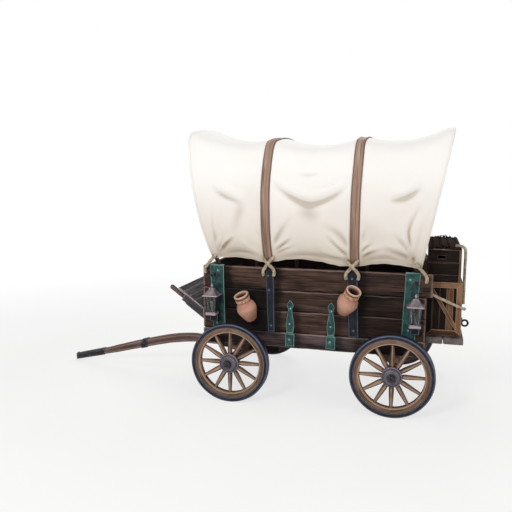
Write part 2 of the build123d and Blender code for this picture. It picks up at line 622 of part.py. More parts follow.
# upper crate: corner posts inside, rows of boards round them, open joints
BOARD_SHARES = (0.24, 0.36, 0.40)  # heights of the rows, from the bottom
SLAT_GAP = 5
SLAT_T = 16
POST = 34
upper_low, upper_front, upper_rear = LOWER_CRATE_TOP, CRATE_FRONT, UPPER_CRATE_REAR
HAND_HOLE_REAR = 165  # from the crate's rear
HAND_HOLE = (80, 34)
HAND_HOLE_DROP = 65  # below the crate's top
hand_hole = block(upper_rear + HAND_HOLE_REAR, upper_rear + HAND_HOLE_REAR + HAND_HOLE[0], -2 * CRATE_HALF,
                  2 * CRATE_HALF, UPPER_CRATE_TOP - HAND_HOLE_DROP - HAND_HOLE[1],
                  UPPER_CRATE_TOP - HAND_HOLE_DROP)
upper = None
for x in (upper_front - SLAT_T - POST / 2, upper_rear + SLAT_T + POST / 2):
    for y in (CRATE_HALF - SLAT_T - POST / 2, -CRATE_HALF + SLAT_T + POST / 2):
        post = block(x - POST / 2, x + POST / 2, y - POST / 2, y + POST / 2, upper_low, UPPER_CRATE_TOP)
        upper = post if upper is None else upper + post
low = upper_low
for share in BOARD_SHARES:
    high = low + share * (UPPER_CRATE_TOP - upper_low)
    joint = SLAT_GAP if high < UPPER_CRATE_TOP - SLAT_GAP else 0  # the top row carries the lid
    ring = block(upper_rear, upper_front, -CRATE_HALF, CRATE_HALF, low, high - joint)
    ring -= block(upper_rear + SLAT_T, upper_front - SLAT_T, -CRATE_HALF + SLAT_T, CRATE_HALF - SLAT_T,
                  low - 1, high + 1)
    upper += ring
    low = high
add("upper_crate", upper - hand_hole)
LID_SLATS = 4
LID_T = 14
lid_pitch = (upper_front - upper_rear) / LID_SLATS
add("crate_lid_slats", *[block(upper_rear + i * lid_pitch, upper_rear + (i + 1) * lid_pitch - SLAT_GAP,
                               -CRATE_HALF, CRATE_HALF, UPPER_CRATE_TOP, UPPER_CRATE_TOP + LID_T)
                         for i in range(LID_SLATS)])

# ring and staple on the rear of the lower crate
RING_Y = CRATE_HALF - 100
RING_Z = PLATFORM_TOP + 132
RING_R, RING_WIRE = 36, 8
ring_x = CRATE_REAR - RING_R - 4
staple = block(CRATE_REAR - 14, CRATE_REAR, RING_Y - 22, RING_Y + 22, RING_Z + 10, RING_Z + 58)
add("tie_ring", staple + Pos(ring_x, RING_Y, RING_Z)
    * Rot(90, 0, 0) * Torus(RING_R, RING_WIRE))

# ------------------------------------------------------------------ ropes
def rope(points, radii):
    """A taut round rope along straight runs joined by arcs."""
    if len(points) == 2:
        return rod(points[0], points[1], ROPE_R)
    path = FilletPolyline(*points, radius=radii)
    start = Vector(*points[0])
    profile = Plane(origin=points[0], z_dir=Vector(*points[1]) - start) * Circle(ROPE_R)
    return sweep(profile, path=path)


LASH_Y = CRATE_HALF - 120
LASH_END_Z = LOWER_CRATE_TOP - 248
LASH_FROM_Z = LOWER_CRATE_TOP - 100  # where it leaves the top plank
LASH_CORNER_Z = LOWER_CRATE_TOP - 280
LASH_TAIL = 50
ROPE_BEND = 24
lid_top = UPPER_CRATE_TOP + LID_T
lash_x = CRATE_REAR - ROPE_R - SEAT
down_the_back = rope([(upper_rear + 60, LASH_Y, lid_top + ROPE_R + SEAT),
                      (lash_x, LASH_Y, lid_top + ROPE_R + SEAT), (lash_x, LASH_Y, LASH_END_Z)], [40])
# from behind the top plank, across the crate's end and round its corner
corner_out = ROPE_R + 8
across_the_end = rope([(BOX_REAR - ROPE_R - 3, PLANK_INSIDE - ROPE_R - SEAT, LASH_FROM_Z),
                       (CRATE_REAR - corner_out, CRATE_HALF + corner_out, LASH_CORNER_Z),
                       (CRATE_REAR - corner_out, LASH_Y + LASH_TAIL, LASH_CORNER_Z - 10)], [ROPE_BEND])
add("lashing_rope", down_the_back, across_the_end)

# canvas ties: one rope at each corner of the box, a crossed pair over each strap
TIE_TOP, TIE_LOW = 1612, 1440
tie_cloth_y = FOOT_Y + BAND_T + ROPE_R + 14
# x at the cloth, x at the box, face of the box it lies on
TIES = [(1120, 1215, BOX_HALF), (530, 446, IRON_FACE), (446, 530, IRON_FACE),
        (-395, -485, IRON_FACE), (-485, -392, IRON_FACE), (-1110, -1195, BOX_HALF)]
ties = []
for cloth_x, box_x, face in TIES:
    end_x = box_x + (box_x - cloth_x) * 0.2
    tie_out = face + ROPE_R + SEAT
    ties.append(rope([(cloth_x, tie_cloth_y, TIE_TOP), (box_x, tie_out, IRON_TOP - 6),
                      (end_x, tie_out, TIE_LOW)], [30]))
crossed = [ties[0], ties[1] + ties[2], ties[3] + ties[4], ties[5]]
add("canvas_ties", *[tie for shape in crossed for tie in pair(shape)])

# ------------------------------------------------------------------ lanterns
ROOF_HALF, GLASS_TOP_HALF, GLASS_LOW_HALF, BASE_HALF = 90, 62, 46, 62
LANTERN_Y = IRON_FACE + ROOF_HALF + 16
LANTERN_EAVE_Z = 1196
LANTERN_BASE_Z = 1012  # top of the base, where the glass stands
LANTERN_BASE_T = 36
BRACKET_DROP = 94
BRACKET_DEPTH = 48  # stands inside the sweep of the steered tyre
LANTERN_RING_R = 48
LANTERN_RING_Z = 1385
LANTERN_RING_WIRE = 6
HOOK_R = 7
HOOK_PLATE_T = 8


def square_at(half, z):
    return Pos(0, 0, z) * Rectangle(2 * half, 2 * half)


def lantern_frame():
    """Roof, hanging ring, hook, four sloping posts, base and the bracket below it."""
    box_face = IRON_FACE - LANTERN_Y
    roof = loft([square_at(ROOF_HALF, LANTERN_EAVE_Z), square_at(ROOF_HALF - 6, LANTERN_EAVE_Z + 14),
                 square_at(28, LANTERN_EAVE_Z + 84)], ruled=True)
    knob_low, knob_high = LANTERN_EAVE_Z + 82, LANTERN_RING_Z - LANTERN_RING_R
    knob = Pos(0, 0, (knob_low + knob_high) / 2) * Cylinder(14, knob_high - knob_low)
    ring = Pos(0, 0, LANTERN_RING_Z) * Rot(90, 0, 0) * Torus(LANTERN_RING_R, LANTERN_RING_WIRE)
    hook_z = LANTERN_RING_Z + LANTERN_RING_R - LANTERN_RING_WIRE - HOOK_R + 3
    hook = rod((0, box_face, hook_z), (0, 12, hook_z), HOOK_R)
    hook += rod((0, 12, hook_z), (0, 18, hook_z + 20), HOOK_R)
    plate = block(-24, 24, box_face, box_face + HOOK_PLATE_T, hook_z - 24, hook_z + 36)
    base_low = LANTERN_BASE_Z - LANTERN_BASE_T
    base = loft([square_at(BASE_HALF - 4, base_low), square_at(BASE_HALF, base_low + 10),
                 square_at(BASE_HALF, LANTERN_BASE_Z - 12), square_at(BASE_HALF - 8, LANTERN_BASE_Z)], ruled=True)
    frame = roof + knob + ring + hook + plate + base
    for sx in (1, -1):
        for sy in (1, -1):
            low = Pos(sx * GLASS_LOW_HALF, sy * GLASS_LOW_HALF, LANTERN_BASE_Z - 1) * Rectangle(12, 12)
            high = Pos(sx * GLASS_TOP_HALF, sy * GLASS_TOP_HALF, LANTERN_EAVE_Z + 1) * Rectangle(14, 14)
            frame += loft([low, high], ruled=True)
    bracket = block(-44, 44, box_face, box_face + BRACKET_DEPTH, base_low - BRACKET_DROP, base_low + 2)
    return frame + bracket


def lantern_glass():
    """Four panes between the posts, as one tapered sleeve."""
    wall = 4
    z0, z1 = LANTERN_BASE_Z, LANTERN_EAVE_Z
    outer = loft([square_at(GLASS_LOW_HALF - 7, z0), square_at(GLASS_TOP_HALF - 8, z1)], ruled=True)
    inner = loft([square_at(GLASS_LOW_HALF - 7 - wall, z0), square_at(GLASS_TOP_HALF - 8 - wall, z1)], ruled=True)
    return outer - inner


CANDLE_R, CANDLE_H = 17, 120
candle = Pos(0, 0, LANTERN_BASE_Z + CANDLE_H / 2) * Cylinder(CANDLE_R, CANDLE_H)
lantern_x = [sum(CORNER_IRONS[0][:2]) / 2 + 22, sum(CORNER_IRONS[1][:2]) / 2 - 38]
frame_piece, glass_piece = lantern_frame(), lantern_glass()
frames, glasses, candles = [], [], []
for x in lantern_x:
    frames += pair(Pos(x, LANTERN_Y, 0) * frame_piece)
    glasses += pair(Pos(x, LANTERN_Y, 0) * glass_piece)
    candles += pair(Pos(x, LANTERN_Y, 0) * candle)
add("lantern_frames", *frames)
add("lantern_glass", *glasses)
add("candles", *candles)

# ------------------------------------------------------------------ jugs
JUG_WALL = 9
NECK_R = 66
# radius, height of the outside
JUG = [(52, 0), (62, 8), (104, 110), (112, 160), (100, 205), (NECK_R, 250), (62, 290), (84, 318), (84, 334)]
JUG_MOUTH = (70, 334)


def jug():
    inner = [(r - JUG_WALL, z) for r, z in JUG[2:7]]
    profile = [(0, 0)] + JUG + [JUG_MOUTH] + inner[::-1] + [(48, 14), (0, 14)]
    return turned_z(profile)


NECK_Z = 272
ROPE_TURN_R = 9


def jug_collar():
    """Rope turns round the neck, as one band."""
    outer = NECK_R + 2 * ROPE_TURN_R
    return turned_z([(NECK_R + SEAT, NECK_Z - 18), (outer, NECK_Z - 14), (outer, NECK_Z + 14),
                     (NECK_R + SEAT, NECK_Z + 18)])


# x and z of the belly, lean along the wagon, lean away from the box, face that the peg stands on
JUGS = [(715, 1083, -17, 20, BOX_HALF), (-412, 1212, 24, 26, IRON_FACE)]
BELLY_Z = 160
PEG_R = 12
jug_shape, collar_shape = jug(), jug_collar()
jugs, hangers = [], []
for x, z, lean, out, peg_face in JUGS:
    tilt = radians(out)
    belly_y = IRON_FACE + 6 + max(r * cos(tilt) + (BELLY_Z - height) * sin(tilt) for r, height in JUG)
    place = Pos(x, belly_y, z) * Rot(-out, 0, 0) * Rot(0, -lean, 0) * Pos(0, 0, -BELLY_Z)
    back = (place * Pos(0, -(NECK_R + 8), NECK_Z)).position  # inside the collar, on the box's side
    jugs += pair(place * jug_shape)
    peg = rod((back.X, peg_face, back.Z), (back.X, back.Y, back.Z), PEG_R)
    hangers += pair(place * collar_shape + peg)
add("jugs", *jugs)
add("jug_hangers", *hangers)

# ------------------------------------------------------------------ write the pieces
rear_end = ring_x - RING_R - RING_WIRE
shift = Pos(-(TIP_X + rear_end) / 2, 0, 0)
for name, solids in parts.items():
    moved = [shift * solid for solid in solids]
    export_step(moved[0] if len(moved) == 1 else Compound(children=moved), f"parts/{name}.step")
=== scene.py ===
import bmesh
import bpy
from math import atan2, ceil, cos, exp, hypot, pi, radians, sin, sqrt
from mathutils import Matrix, Vector, noise


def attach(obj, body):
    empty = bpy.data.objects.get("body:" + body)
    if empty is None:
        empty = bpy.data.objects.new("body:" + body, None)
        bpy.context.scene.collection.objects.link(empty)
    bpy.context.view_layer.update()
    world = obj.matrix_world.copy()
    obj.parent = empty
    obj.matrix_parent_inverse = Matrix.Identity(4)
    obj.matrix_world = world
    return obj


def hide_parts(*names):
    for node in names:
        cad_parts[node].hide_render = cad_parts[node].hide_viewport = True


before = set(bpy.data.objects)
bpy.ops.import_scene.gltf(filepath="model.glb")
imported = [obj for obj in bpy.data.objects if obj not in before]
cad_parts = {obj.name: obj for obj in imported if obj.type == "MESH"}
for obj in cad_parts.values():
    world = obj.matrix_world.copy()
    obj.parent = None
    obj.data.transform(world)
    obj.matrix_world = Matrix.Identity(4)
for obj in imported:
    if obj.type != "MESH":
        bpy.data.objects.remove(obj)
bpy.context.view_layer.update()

# Sizes are written in mm in the drawing's frame: X forward from the middle of the wheelbase,
# Y to the wagon's left, Z up. ROW_X moves them to the shared frame.
ROW_X = -0.873


def at(x, y, z):
    return Vector((x / 1000 + ROW_X, y / 1000, z / 1000))


def mm(x, y, z):
    """Millimetres as metres."""
    return (x / 1000, y / 1000, z / 1000)


def rnd(*seed):
    """A repeatable number from -1 to 1."""
    value = sin(sum((k + 1) * 12.9898 * s for k, s in enumerate(seed)) + 4.1414) * 43758.5453
    return 2 * (value - int(value // 1)) - 1


def wander(*where):
    """Smooth noise over up to three numbers, about -1 to 1."""
    return noise.noise(Vector((list(where) + [0.37, 0.71, 0.13])[:3])) * 1.6


def ripple(*where):
    """Smooth noise, about 0 to 1."""
    return 0.5 + 0.5 * wander(*where)


def circle(count):
    """Cosine and sine of evenly spaced angles."""
    return [(cos(2 * pi * k / count), sin(2 * pi * k / count)) for k in range(count)]


def pairs(items):
    """Each item with the next one, round to the first."""
    return zip(items, items[1:] + items[:1])


def neighbours(items):
    """Each item between the one before and the one after, round the list."""
    return zip(items[-1:] + items[:-1], items, items[1:] + items[:1])


def new_object(name, data):
    obj = bpy.data.objects.new(name, data)
    bpy.context.scene.collection.objects.link(obj)
    return obj


# ---- mesh in the making
class Mesh:
    """Points, faces, and three values at each point: edge wear together with painted highlight and shade, tone of its
    board (on the cloth its fold depth, for painted shade), grain.
    """

    def __init__(self):
        self.points, self.faces, self.wear, self.tone, self.grain = [], [], [], [], []

    def point(self, where, wear=0.0, tone=0.0, grain=None):
        self.points.append(Vector(where))
        self.wear.append(wear)
        self.tone.append(tone)
        self.grain.append(Vector(grain) if grain is not None else Vector(where))
        return len(self.points) - 1

    def skin(self, rings, closed=False):
        """Quads between rings of point numbers, each closed on itself, with a cap on the first and the
        last, or closed from the last to the first."""
        for a, b in pairs(rings) if closed else zip(rings, rings[1:]):
            for i in range(len(a)):
                j = (i + 1) % len(a)
                self.faces.append((a[i], a[j], b[j], b[i]))
        if not closed:
            self.faces.append(tuple(reversed(rings[0])))
            self.faces.append(tuple(rings[-1]))

    def grid(self, rows):
        """Quads between open rows of point numbers."""
        for a, b in zip(rows, rows[1:]):
            for i in range(len(a) - 1):
                self.faces.append((a[i], a[i + 1], b[i + 1], b[i]))

    def transformed(self, matrix):
        self.points = [matrix @ p for p in self.points]
        return self

    def take(self, other):
        base = len(self.points)
        self.points += other.points
        self.wear += other.wear
        self.tone += other.tone
        self.grain += other.grain
        self.faces += [tuple(i + base for i in face) for face in other.faces]
        return self

    def mirrored(self):
        twin = Mesh()
        twin.points = [Vector((p.x, -p.y, p.z)) for p in self.points]
        twin.wear, twin.grain = list(self.wear), list(self.grain)
        twin.tone = [t + 0.37 for t in self.tone]
        twin.faces = [tuple(reversed(face)) for face in self.faces]
        return twin

    def object(self, name, finish, slot, stands_for=(), smooth=35, body="wagon"):
        """The finished piece, on its body, in place of the CAD nodes it stands for, which are hidden; the slot is not
        used.
        """
        mesh = bpy.data.meshes.new(name)
        mesh.from_pydata([p[:] for p in self.points], [], self.faces)
        for key, values in (("wear", self.wear), ("tone", self.tone)):
            mesh.attributes.new(key, "FLOAT", "POINT").data.foreach_set("value", values)
        flat = [c for g in self.grain for c in g]
        mesh.attributes.new("grain", "FLOAT_VECTOR", "POINT").data.foreach_set("vector", flat)
        mesh.validate()
        tidy = bmesh.new()
        tidy.from_mesh(mesh)
        bmesh.ops.recalc_face_normals(tidy, faces=tidy.faces)
        tidy.to_mesh(mesh)
        tidy.free()
        mesh.materials.append(finish)
        mesh.shade_smooth()
        if smooth < 180:
            mesh.set_sharp_from_angle(angle=radians(smooth))
        obj = new_object(name, mesh)
        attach(obj, body)
        if stands_for:
            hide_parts(*stands_for)
        return obj


def joined(meshes):
    """One mesh from many."""
    out = Mesh()
    for mesh in meshes:
        out.take(mesh)
    return out


def both_sides(mesh):
    """The left side's mesh with its mirror image."""
    twin = mesh.mirrored()
    return mesh.take(twin)


def moved(mesh, x=0, y=0, z=0):
    """A mesh carried to a place in the drawing; without one, from the drawing's origin to the frame's."""
    return mesh.transformed(Matrix.Translation(at(x, y, z)))


# ---- forms
def board(length, height, thick, cut=5, rim=9, wave=3.0, seed=0.0, nick=0.0, step=32, tone=None,
          rough=0.8, end_worn=0.0, backed=False):
    """A hewn board along X from 0, its height along Z and its thickness along Y, in mm.
    It stays inside its length, height and thickness. Long edges wander by wave, with nicks;
    on a backed board only the outer edges do, so that boards still meet behind them."""
    cut = min(cut, thick * 0.3, height * 0.3)
    rim = min(rim, thick * 0.2, height * 0.18)
    tone = rnd(seed, 3.1) * 0.5 if tone is None else tone
    inner = 3 if height > 70 else 1
    span = height - 2 * (cut + rim)
    # height and wear up a face, then depth and wear across an edge
    face = [(cut, 1.0), (cut + rim, 0.0)]
    face += [(cut + rim + span * k / (inner + 1), 0.0) for k in range(1, inner + 1)]
    face += [(height - cut - rim, 0.0), (height - cut, 1.0)]
    edge = [(thick - cut, 1.0), (thick / 2, 0.35), (cut, 1.0)]
    loop = [(z, thick, w) for z, w in face] + [(height, y, w) for y, w in edge]
    loop += [(z, 0, w) for z, w in reversed(face)] + [(0, y, w) for y, w in reversed(edge)]
    # On a backed board the upper edges keep their wear as a painted highlight, and the lower edges lose most of it.
    if backed:
        loop = [(z, y, wear * (0.2 if z < height / 2 else 0.9)) for z, y, wear in loop]
    count = max(4, int(ceil(length / step)))
    ends = [0.0, cut] + ([end_worn, end_worn + 5] if end_worn else [cut + rim])
    xs = ends + [x for x in (length * k / count for k in range(1, count)) if ends[-1] + 4 < x < length - ends[-1] - 4]
    xs += [length - e for e in reversed(ends)]
    out, rings, tiny = Mesh(), [], 1e-6
    for x in xs:
        end = min(x, length - x)
        shrink = cut if end < tiny else 0.0
        end_wear = 0.75 if end <= cut + tiny else 0.4 if end <= end_worn + tiny else 0.0
        t = x / 1000
        top, low = (wave * ripple(t * 5, seed, a) + nick * max(0.0, wander(t * 17, seed, b) - 0.3)
                    for a, b in ((1.0, 5.0), (2.0, 7.0)))
        ring = []
        for z, y, wear in loop:
            share = z / height
            deep = 1.0 if not backed or y > thick / 2 else 0.5 if y == thick / 2 else 0.05
            zz = z + (low * (1 - share) - top * share) * deep
            dent = rough * ripple(t * 9, share * 3, seed + y)
            yy = y - dent if y > thick / 2 else y + dent
            zz = min(max(zz, shrink), height - shrink)
            yy = min(max(yy, shrink), thick - shrink)
            ring.append(out.point(mm(x, yy, zz), max(wear, end_wear), tone,
                                  (t, yy / 1000, zz / 1000 + seed)))
        rings.append(ring)
    out.skin(rings)
    return out


def placed(mesh, corner, along, up):
    """A board moved so that its start corner, length and height lie as given, in drawing mm."""
    along, up = Vector(along).normalized(), Vector(up).normalized()
    across = up.cross(along)
    start = at(*corner)
    turn = Matrix((along, across, up)).transposed().to_4x4()
    return mesh.transformed(Matrix.Translation(start) @ turn)


def board_x(x0, x1, y0, y1, z0, z1, **more):
    """A board whose grain runs along the wagon."""
    return placed(board(x1 - x0, z1 - z0, y1 - y0, **more), (x0, y0, z0), (1, 0, 0), (0, 0, 1))


def board_y(x0, x1, y0, y1, z0, z1, **more):
    """A board whose grain runs across the wagon."""
    return placed(board(y1 - y0, z1 - z0, x1 - x0, **more), (x1, y0, z0), (0, 1, 0), (0, 0, 1))


def board_z(x0, x1, y0, y1, z0, z1, **more):
    """A board whose grain stands upright; its face looks along Y."""
    return placed(board(z1 - z0, x1 - x0, y1 - y0, **more), (x1, y0, z0), (0, 0, 1), (-1, 0, 0))


def signed_area(outline):
    """Above 0 for an outline that turns left."""
    return sum(a[0] * b[1] - b[0] * a[1] for a, b in pairs(outline))


def rectangle(x0, x1, z0, z1):
    return [(x0, z0), (x1, z0), (x1, z1), (x0, z1)]


def ring_inset(outline, amount):
    """A closed outline moved inward, each corner by its mitre."""
    turn = 1 if signed_area(outline) > 0 else -1
    inset = []
    for (ax, ay), (bx, by), (cx, cy) in neighbours(outline):
        la, lc = hypot(bx - ax, by - ay), hypot(cx - bx, cy - by)
        na = (-(by - ay) / la * turn, (bx - ax) / la * turn)
        nc = (-(cy - by) / lc * turn, (cx - bx) / lc * turn)
        sx, sy = na[0] + nc[0], na[1] + nc[1]
        size = max(0.5, (sx * sx + sy * sy) / 2)
        inset.append((bx + sx * amount / size, by + sy * amount / size))
    return inset


def plate(outline, low, high, cut=2.5, rim=7, tone=0.0, along=(1, 0), both=False):
    """A flat piece with eased, worn edges from an outline in the (u, v) plane, low to high
    along w. Points are (u, w, v), so that u lies along X and v along Z."""
    out = Mesh()
    along = Vector(along).normalized()

    def ring(inset, w, wear):
        return [out.point(mm(u, w, v), wear, tone,
                          ((u * along.x + v * along.y) / 1000, w / 1000, (v * along.x - u * along.y) / 1000 + tone))
                for u, v in (ring_inset(outline, inset) if inset else outline)]

    rings = [ring(cut + rim, low, 0.0), ring(cut, low, 1.0), ring(0, low + cut, 1.0)] if both else [ring(0, low, 0.4)]
    rings += [ring(0, high - cut, 1.0), ring(cut, high, 1.0), ring(cut + rim, high, 0.0)]
    if signed_area(outline) > 0:
        rings = [list(reversed(r)) for r in rings]
    out.skin(rings)
    return out


def lathe(profile, segments, wobble=0.0, seed=0.0, bents=0):
    """A closed profile of (radius, axial, wear) turned about Y. Grain runs round the axis; bents is the
    number of bent boards that make it up."""
    out, rings = Mesh(), []
    for k, (c, s) in enumerate(circle(segments)):
        ring = []
        tone = 0.5 * rnd(int(bents * k / segments), seed) if bents else seed
        for i, (r, y, wear) in enumerate(profile):
            rr = r - wobble * ripple(c * 2 + seed, s * 2, i * 0.15) if r else 0.0
            ring.append(out.point(mm(rr * s, y, rr * c), wear, tone,
                                  mm(2 * pi * k / segments * r, y, r)))
        rings.append(ring)
    out.skin(rings, closed=True)
    return out


def eased(profile, cut=3.0, rim=6.0):
    """A closed (radius, axial) profile with each corner eased and its worn rim beside it."""
    out = []
    for a, b, c in neighbours([Vector(p) for p in profile]):
        for far, before in ((a, True), (c, False)):
            run = (far - b).length
            way = (far - b) / run
            rows = [(b + way * min(cut + rim, run * 0.45), 0.0), (b + way * min(cut, run * 0.3), 1.0)]
            out += [(p.x, p.y, w) for p, w in (rows if before else reversed(rows))]
    return out


def carried(normal, ahead):
    """A normal turned as little as can be to stand square to the way ahead, and the side it leaves."""
    normal = ahead.orthogonal().normalized() if normal is None else normal
    normal = (normal - ahead * normal.dot(ahead)).normalized()
    return normal, ahead.cross(normal)


def tube(path, radius, sides=10, seed=0.0, wear=0.0):
    """A round bar along points, in metres. The radius may be a function of the share of the path."""
    out, rings, run, normal = Mesh(), [], 0.0, None
    for i, p in enumerate(path):
        ahead = path[min(i + 1, len(path) - 1)] - path[max(i - 1, 0)]
        normal, side = carried(normal, ahead.normalized())
        if i:
            run += (p - path[i - 1]).length
        r = radius(i / (len(path) - 1)) if callable(radius) else radius
        rings.append([out.point(p + (normal * c + side * s) * r, wear, seed, (run, k / sides * 0.05, seed))
                      for k, (c, s) in enumerate(circle(sides))])
    out.skin(rings)
    return out


def smooth_path(points, per_span=8):
    """Points on a smooth curve through the given ones, in metres."""
    pts = [Vector(p) for p in points]
    pts = [pts[0] * 2 - pts[1]] + pts + [pts[-1] * 2 - pts[-2]]
    out = []
    for a, b, c, d in zip(pts, pts[1:], pts[2:], pts[3:]):
        for k in range(per_span):
            t = k / per_span
            out.append(0.5 * ((2 * b) + (c - a) * t + (2 * a - 5 * b + 4 * c - d) * t * t
                              + (3 * b - a - 3 * c + d) * t * t * t))
    out.append(pts[-2])
    return out


def twisted(path, radius, pitch=0.062, seed=0.0):
    """A laid rope: three strands wound round a path, in metres."""
    strands, strand_r = 3, radius * 0.53
    runs, length = [0.0], 0.0
    for a, b in zip(path, path[1:]):
        length += (b - a).length
        runs.append(length)
    count = max(8, int(length / (pitch / 9)))
    frames, normal, j = [], None, 0
    for i in range(count + 1):
        s = length * i / count
        while j < len(runs) - 2 and runs[j + 1] < s:
            j += 1
        p = path[j].lerp(path[j + 1], (s - runs[j]) / max(1e-9, runs[j + 1] - runs[j]))
        normal, side = carried(normal, (path[j + 1] - path[j]).normalized())
        frames.append((s, p, normal, side))
    out = Mesh()
    for n in range(strands):
        line = []
        for s, p, normal, side in frames:
            a = 2 * pi * (s / pitch + n / strands)
            line.append(p + (normal * cos(a) + side * sin(a)) * (radius - strand_r))
        out.take(tube(line, strand_r, sides=7, seed=seed + n * 0.3))
    return out


def dome(radius, height, sides=12, washer=0.0):
    """A bolt head on the plane y = 0, standing out along +Y, in mm."""
    # The value climbs to 1 at the top of the head: a painted highlight, with the sides left dark.
    rows = [(radius, 0, 0.0), (radius, height * 0.35, 0.0), (radius * 0.82, height * 0.72, 0.4),
            (radius * 0.45, height * 0.95, 1.0)]
    if washer:
        rows = [(washer, 0, 0.3), (washer, height * 0.2, 0.6), (radius * 1.1, height * 0.24, 0.0)] + rows[1:]
    out = Mesh()
    out.skin([[out.point(mm(r * s, y, r * c), wear) for c, s in circle(sides)]
              for r, y, wear in rows])
    return out


# ---- materials
def paint(colour):
    """The shader's linear colour for a grey level, for a display colour in thousandths, or for a linear
    colour with its alpha."""
    if isinstance(colour, float):
        return (colour, colour, colour, 1.0)
    if len(colour) == 4:
        return colour
    shares = [c / 1000 for c in colour]
    return tuple(c / 12.92 if c <= 0.04045 else ((c + 0.055) / 1.055) ** 2.4 for c in shares) + (1.0,)


class Tree:
    """The nodes of a material or of the world. Each way to add a node gives its output."""

    def __init__(self, holder):
        holder.use_nodes = True
        self.nodes, self.links = holder.node_tree.nodes, holder.node_tree.links
        self.nodes.clear()

    def feed(self, node, inputs):
        for key, value in inputs:
            if hasattr(value, "is_output"):
                self.links.new(value, node.inputs[key])
            else:
                node.inputs[key].default_value = value

    def add(self, kind, *inputs, out=0, **settings):
        node = self.nodes.new("ShaderNode" + kind)
        for key, value in settings.items():
            setattr(node, key, value)
        self.feed(node, inputs)
        return node.outputs[out]

    def attribute(self, name, out="Fac"):
        return self.add("Attribute", out=out, attribute_name=name)

    def place(self):
        return self.add("TexCoord", out="Object")

    def noise(self, where, scale, detail, *more):
        return self.add("TexNoise", (0, where), ("Scale", scale), ("Detail", detail), *more)

    def vector(self, operation, a, b, out=0):
        return self.add("VectorMath", (0, a), (1, b), out=out, operation=operation)

    def maths(self, operation, a, b, clamp=False):
        return self.add("Math", (0, a), (1, b), operation=operation, use_clamp=clamp)

    def plus(self, a, b, clamp=False):
        return self.maths("ADD", a, b, clamp)

    def times(self, a, b, clamp=False):
        return self.maths("MULTIPLY", a, b, clamp)

    def remap(self, value, low, high, to_low=0.0, to_high=1.0):
        return self.add("MapRange", (0, value), (1, low), (2, high), (3, to_low), (4, to_high))

    def ramp(self, factor, *stops):
        out = self.add("ValToRGB", (0, factor))
        items = out.node.color_ramp.elements
        while len(items) < len(stops):
            items.new(0.5)
        for item, (position, colour) in zip(items, stops):
            item.position = position
            item.color = paint(colour)
        return out

    def mix(self, share, a, b, blend="MIX"):
        a, b = (c if hasattr(c, "is_output") else paint(c) for c in (a, b))
        return self.add("Mix", (0, share), (6, a), (7, b), out=2, data_type="RGBA", blend_type=blend)

    def edge(self, own, radius):
        """Edge wear: the mesh's own, which also carries painted highlight and shade, or found from how far a rounded
        normal leaves the true one.
        """
        if own:
            return self.attribute("wear")
        rounded = self.add("Bevel", ("Radius", radius), samples=4)
        true = self.add("NewGeometry", out="Normal")
        return self.remap(self.vector("DOT_PRODUCT", rounded, true, "Value"), 0.99, 0.85)

    def corner_shaded(self, colour, reach, least):
        """A colour with painted shade where surfaces meet."""
        open_air = self.add("AmbientOcclusion", ("Distance", reach), out="AO", samples=6)
        return self.mix(1.0, colour, self.remap(open_air, 0.15, 0.8, least, 1.0), "MULTIPLY")

    def seen_by_eye(self):
        """1 for rays from the eye, straight, mirrored or through glass, 0 for light on the object."""
        path = self.add("LightPath").node.outputs
        return self.plus(self.plus(path["Is Camera Ray"], path["Is Glossy Ray"], True),
                         path["Is Transmission Ray"], True)


class Finish(Tree):
    """A material with one principled shader."""

    def __init__(self, name):
        self.material = bpy.data.materials.new(name)
        super().__init__(self.material)
        self.shader = self.add("BsdfPrincipled").node
        self.end = self.nodes.new("ShaderNodeOutputMaterial")
        self.links.new(self.shader.outputs[0], self.end.inputs[0])

    def done(self, colour, roughness, relief, *inputs):
        """Feed the shader, with a bump from (height, strength, distance) if any, and give the material."""
        self.feed(self.shader, [("Base Color", colour), ("Roughness", roughness), *inputs])
        if relief:
            bump = self.add("Bump", *zip(("Height", "Strength", "Distance"), relief))
            self.feed(self.shader, [("Normal", bump)])
        return self.material


# The dark tint that painted shadow multiplies in.
SHADOW_TINT = (0.07, 0.085, 0.11, 1.0)


def wood(name, dark, mid, light, worn, own=True, wear_level=0.62, roughness=0.78, corner_shade=0.35, reach=0.09,
         streak=70.0, shine=0.12):
    """Timber with streaks, cracks and pale worn edges, with painted highlights where the mesh marks them, painted
    shade where surfaces meet and painted shadow where the mesh carries it. A CAD node has no values of its own: its
    grain then runs along the frame's X."""
    m = Finish(name)
    tone = m.attribute("tone") if own else m.add("ObjectInfo", out="Random")
    shifted = m.vector("ADD", m.attribute("grain", "Vector") if own else m.place(), tone)

    def streaks(lengthwise, across, detail):
        stretched = m.vector("MULTIPLY", shifted, (lengthwise, across, across))
        return m.noise(stretched, 1.0, detail, ("Roughness", 0.6))

    fine = streaks(3.5, streak, 4.0)
    both = m.plus(m.times(streaks(2.2, 16.0, 3.0), 0.55), m.times(fine, 0.45))
    colour = m.ramp(m.plus(both, m.times(tone, 0.10)), (0.36, dark), (0.52, mid), (0.68, light))
    split = m.ramp(streaks(2.0, 42.0, 1.0), (0.30, 0.25), (0.37, 1.0))
    colour = m.mix(0.75, colour, split, "MULTIPLY")
    patchy = m.plus(m.noise(shifted, 9.0, 5.0), wear_level - 0.35)
    worn_and_lit_share = m.ramp(m.times(m.edge(own, 0.008), patchy, True), (0.28, 0.0), (0.66, 0.85))
    colour = m.corner_shaded(m.mix(worn_and_lit_share, colour, worn), reach, corner_shade)
    # Painted shadow, where the mesh carries it.
    colour = m.mix(m.attribute("painted_shadow"), colour, m.mix(1.0, colour, SHADOW_TINT, "MULTIPLY"))
    relief = (m.plus(fine, m.times(split, 0.8)), 0.55, 0.003)
    return m.done(colour, roughness, relief, ("Specular IOR Level", shine))


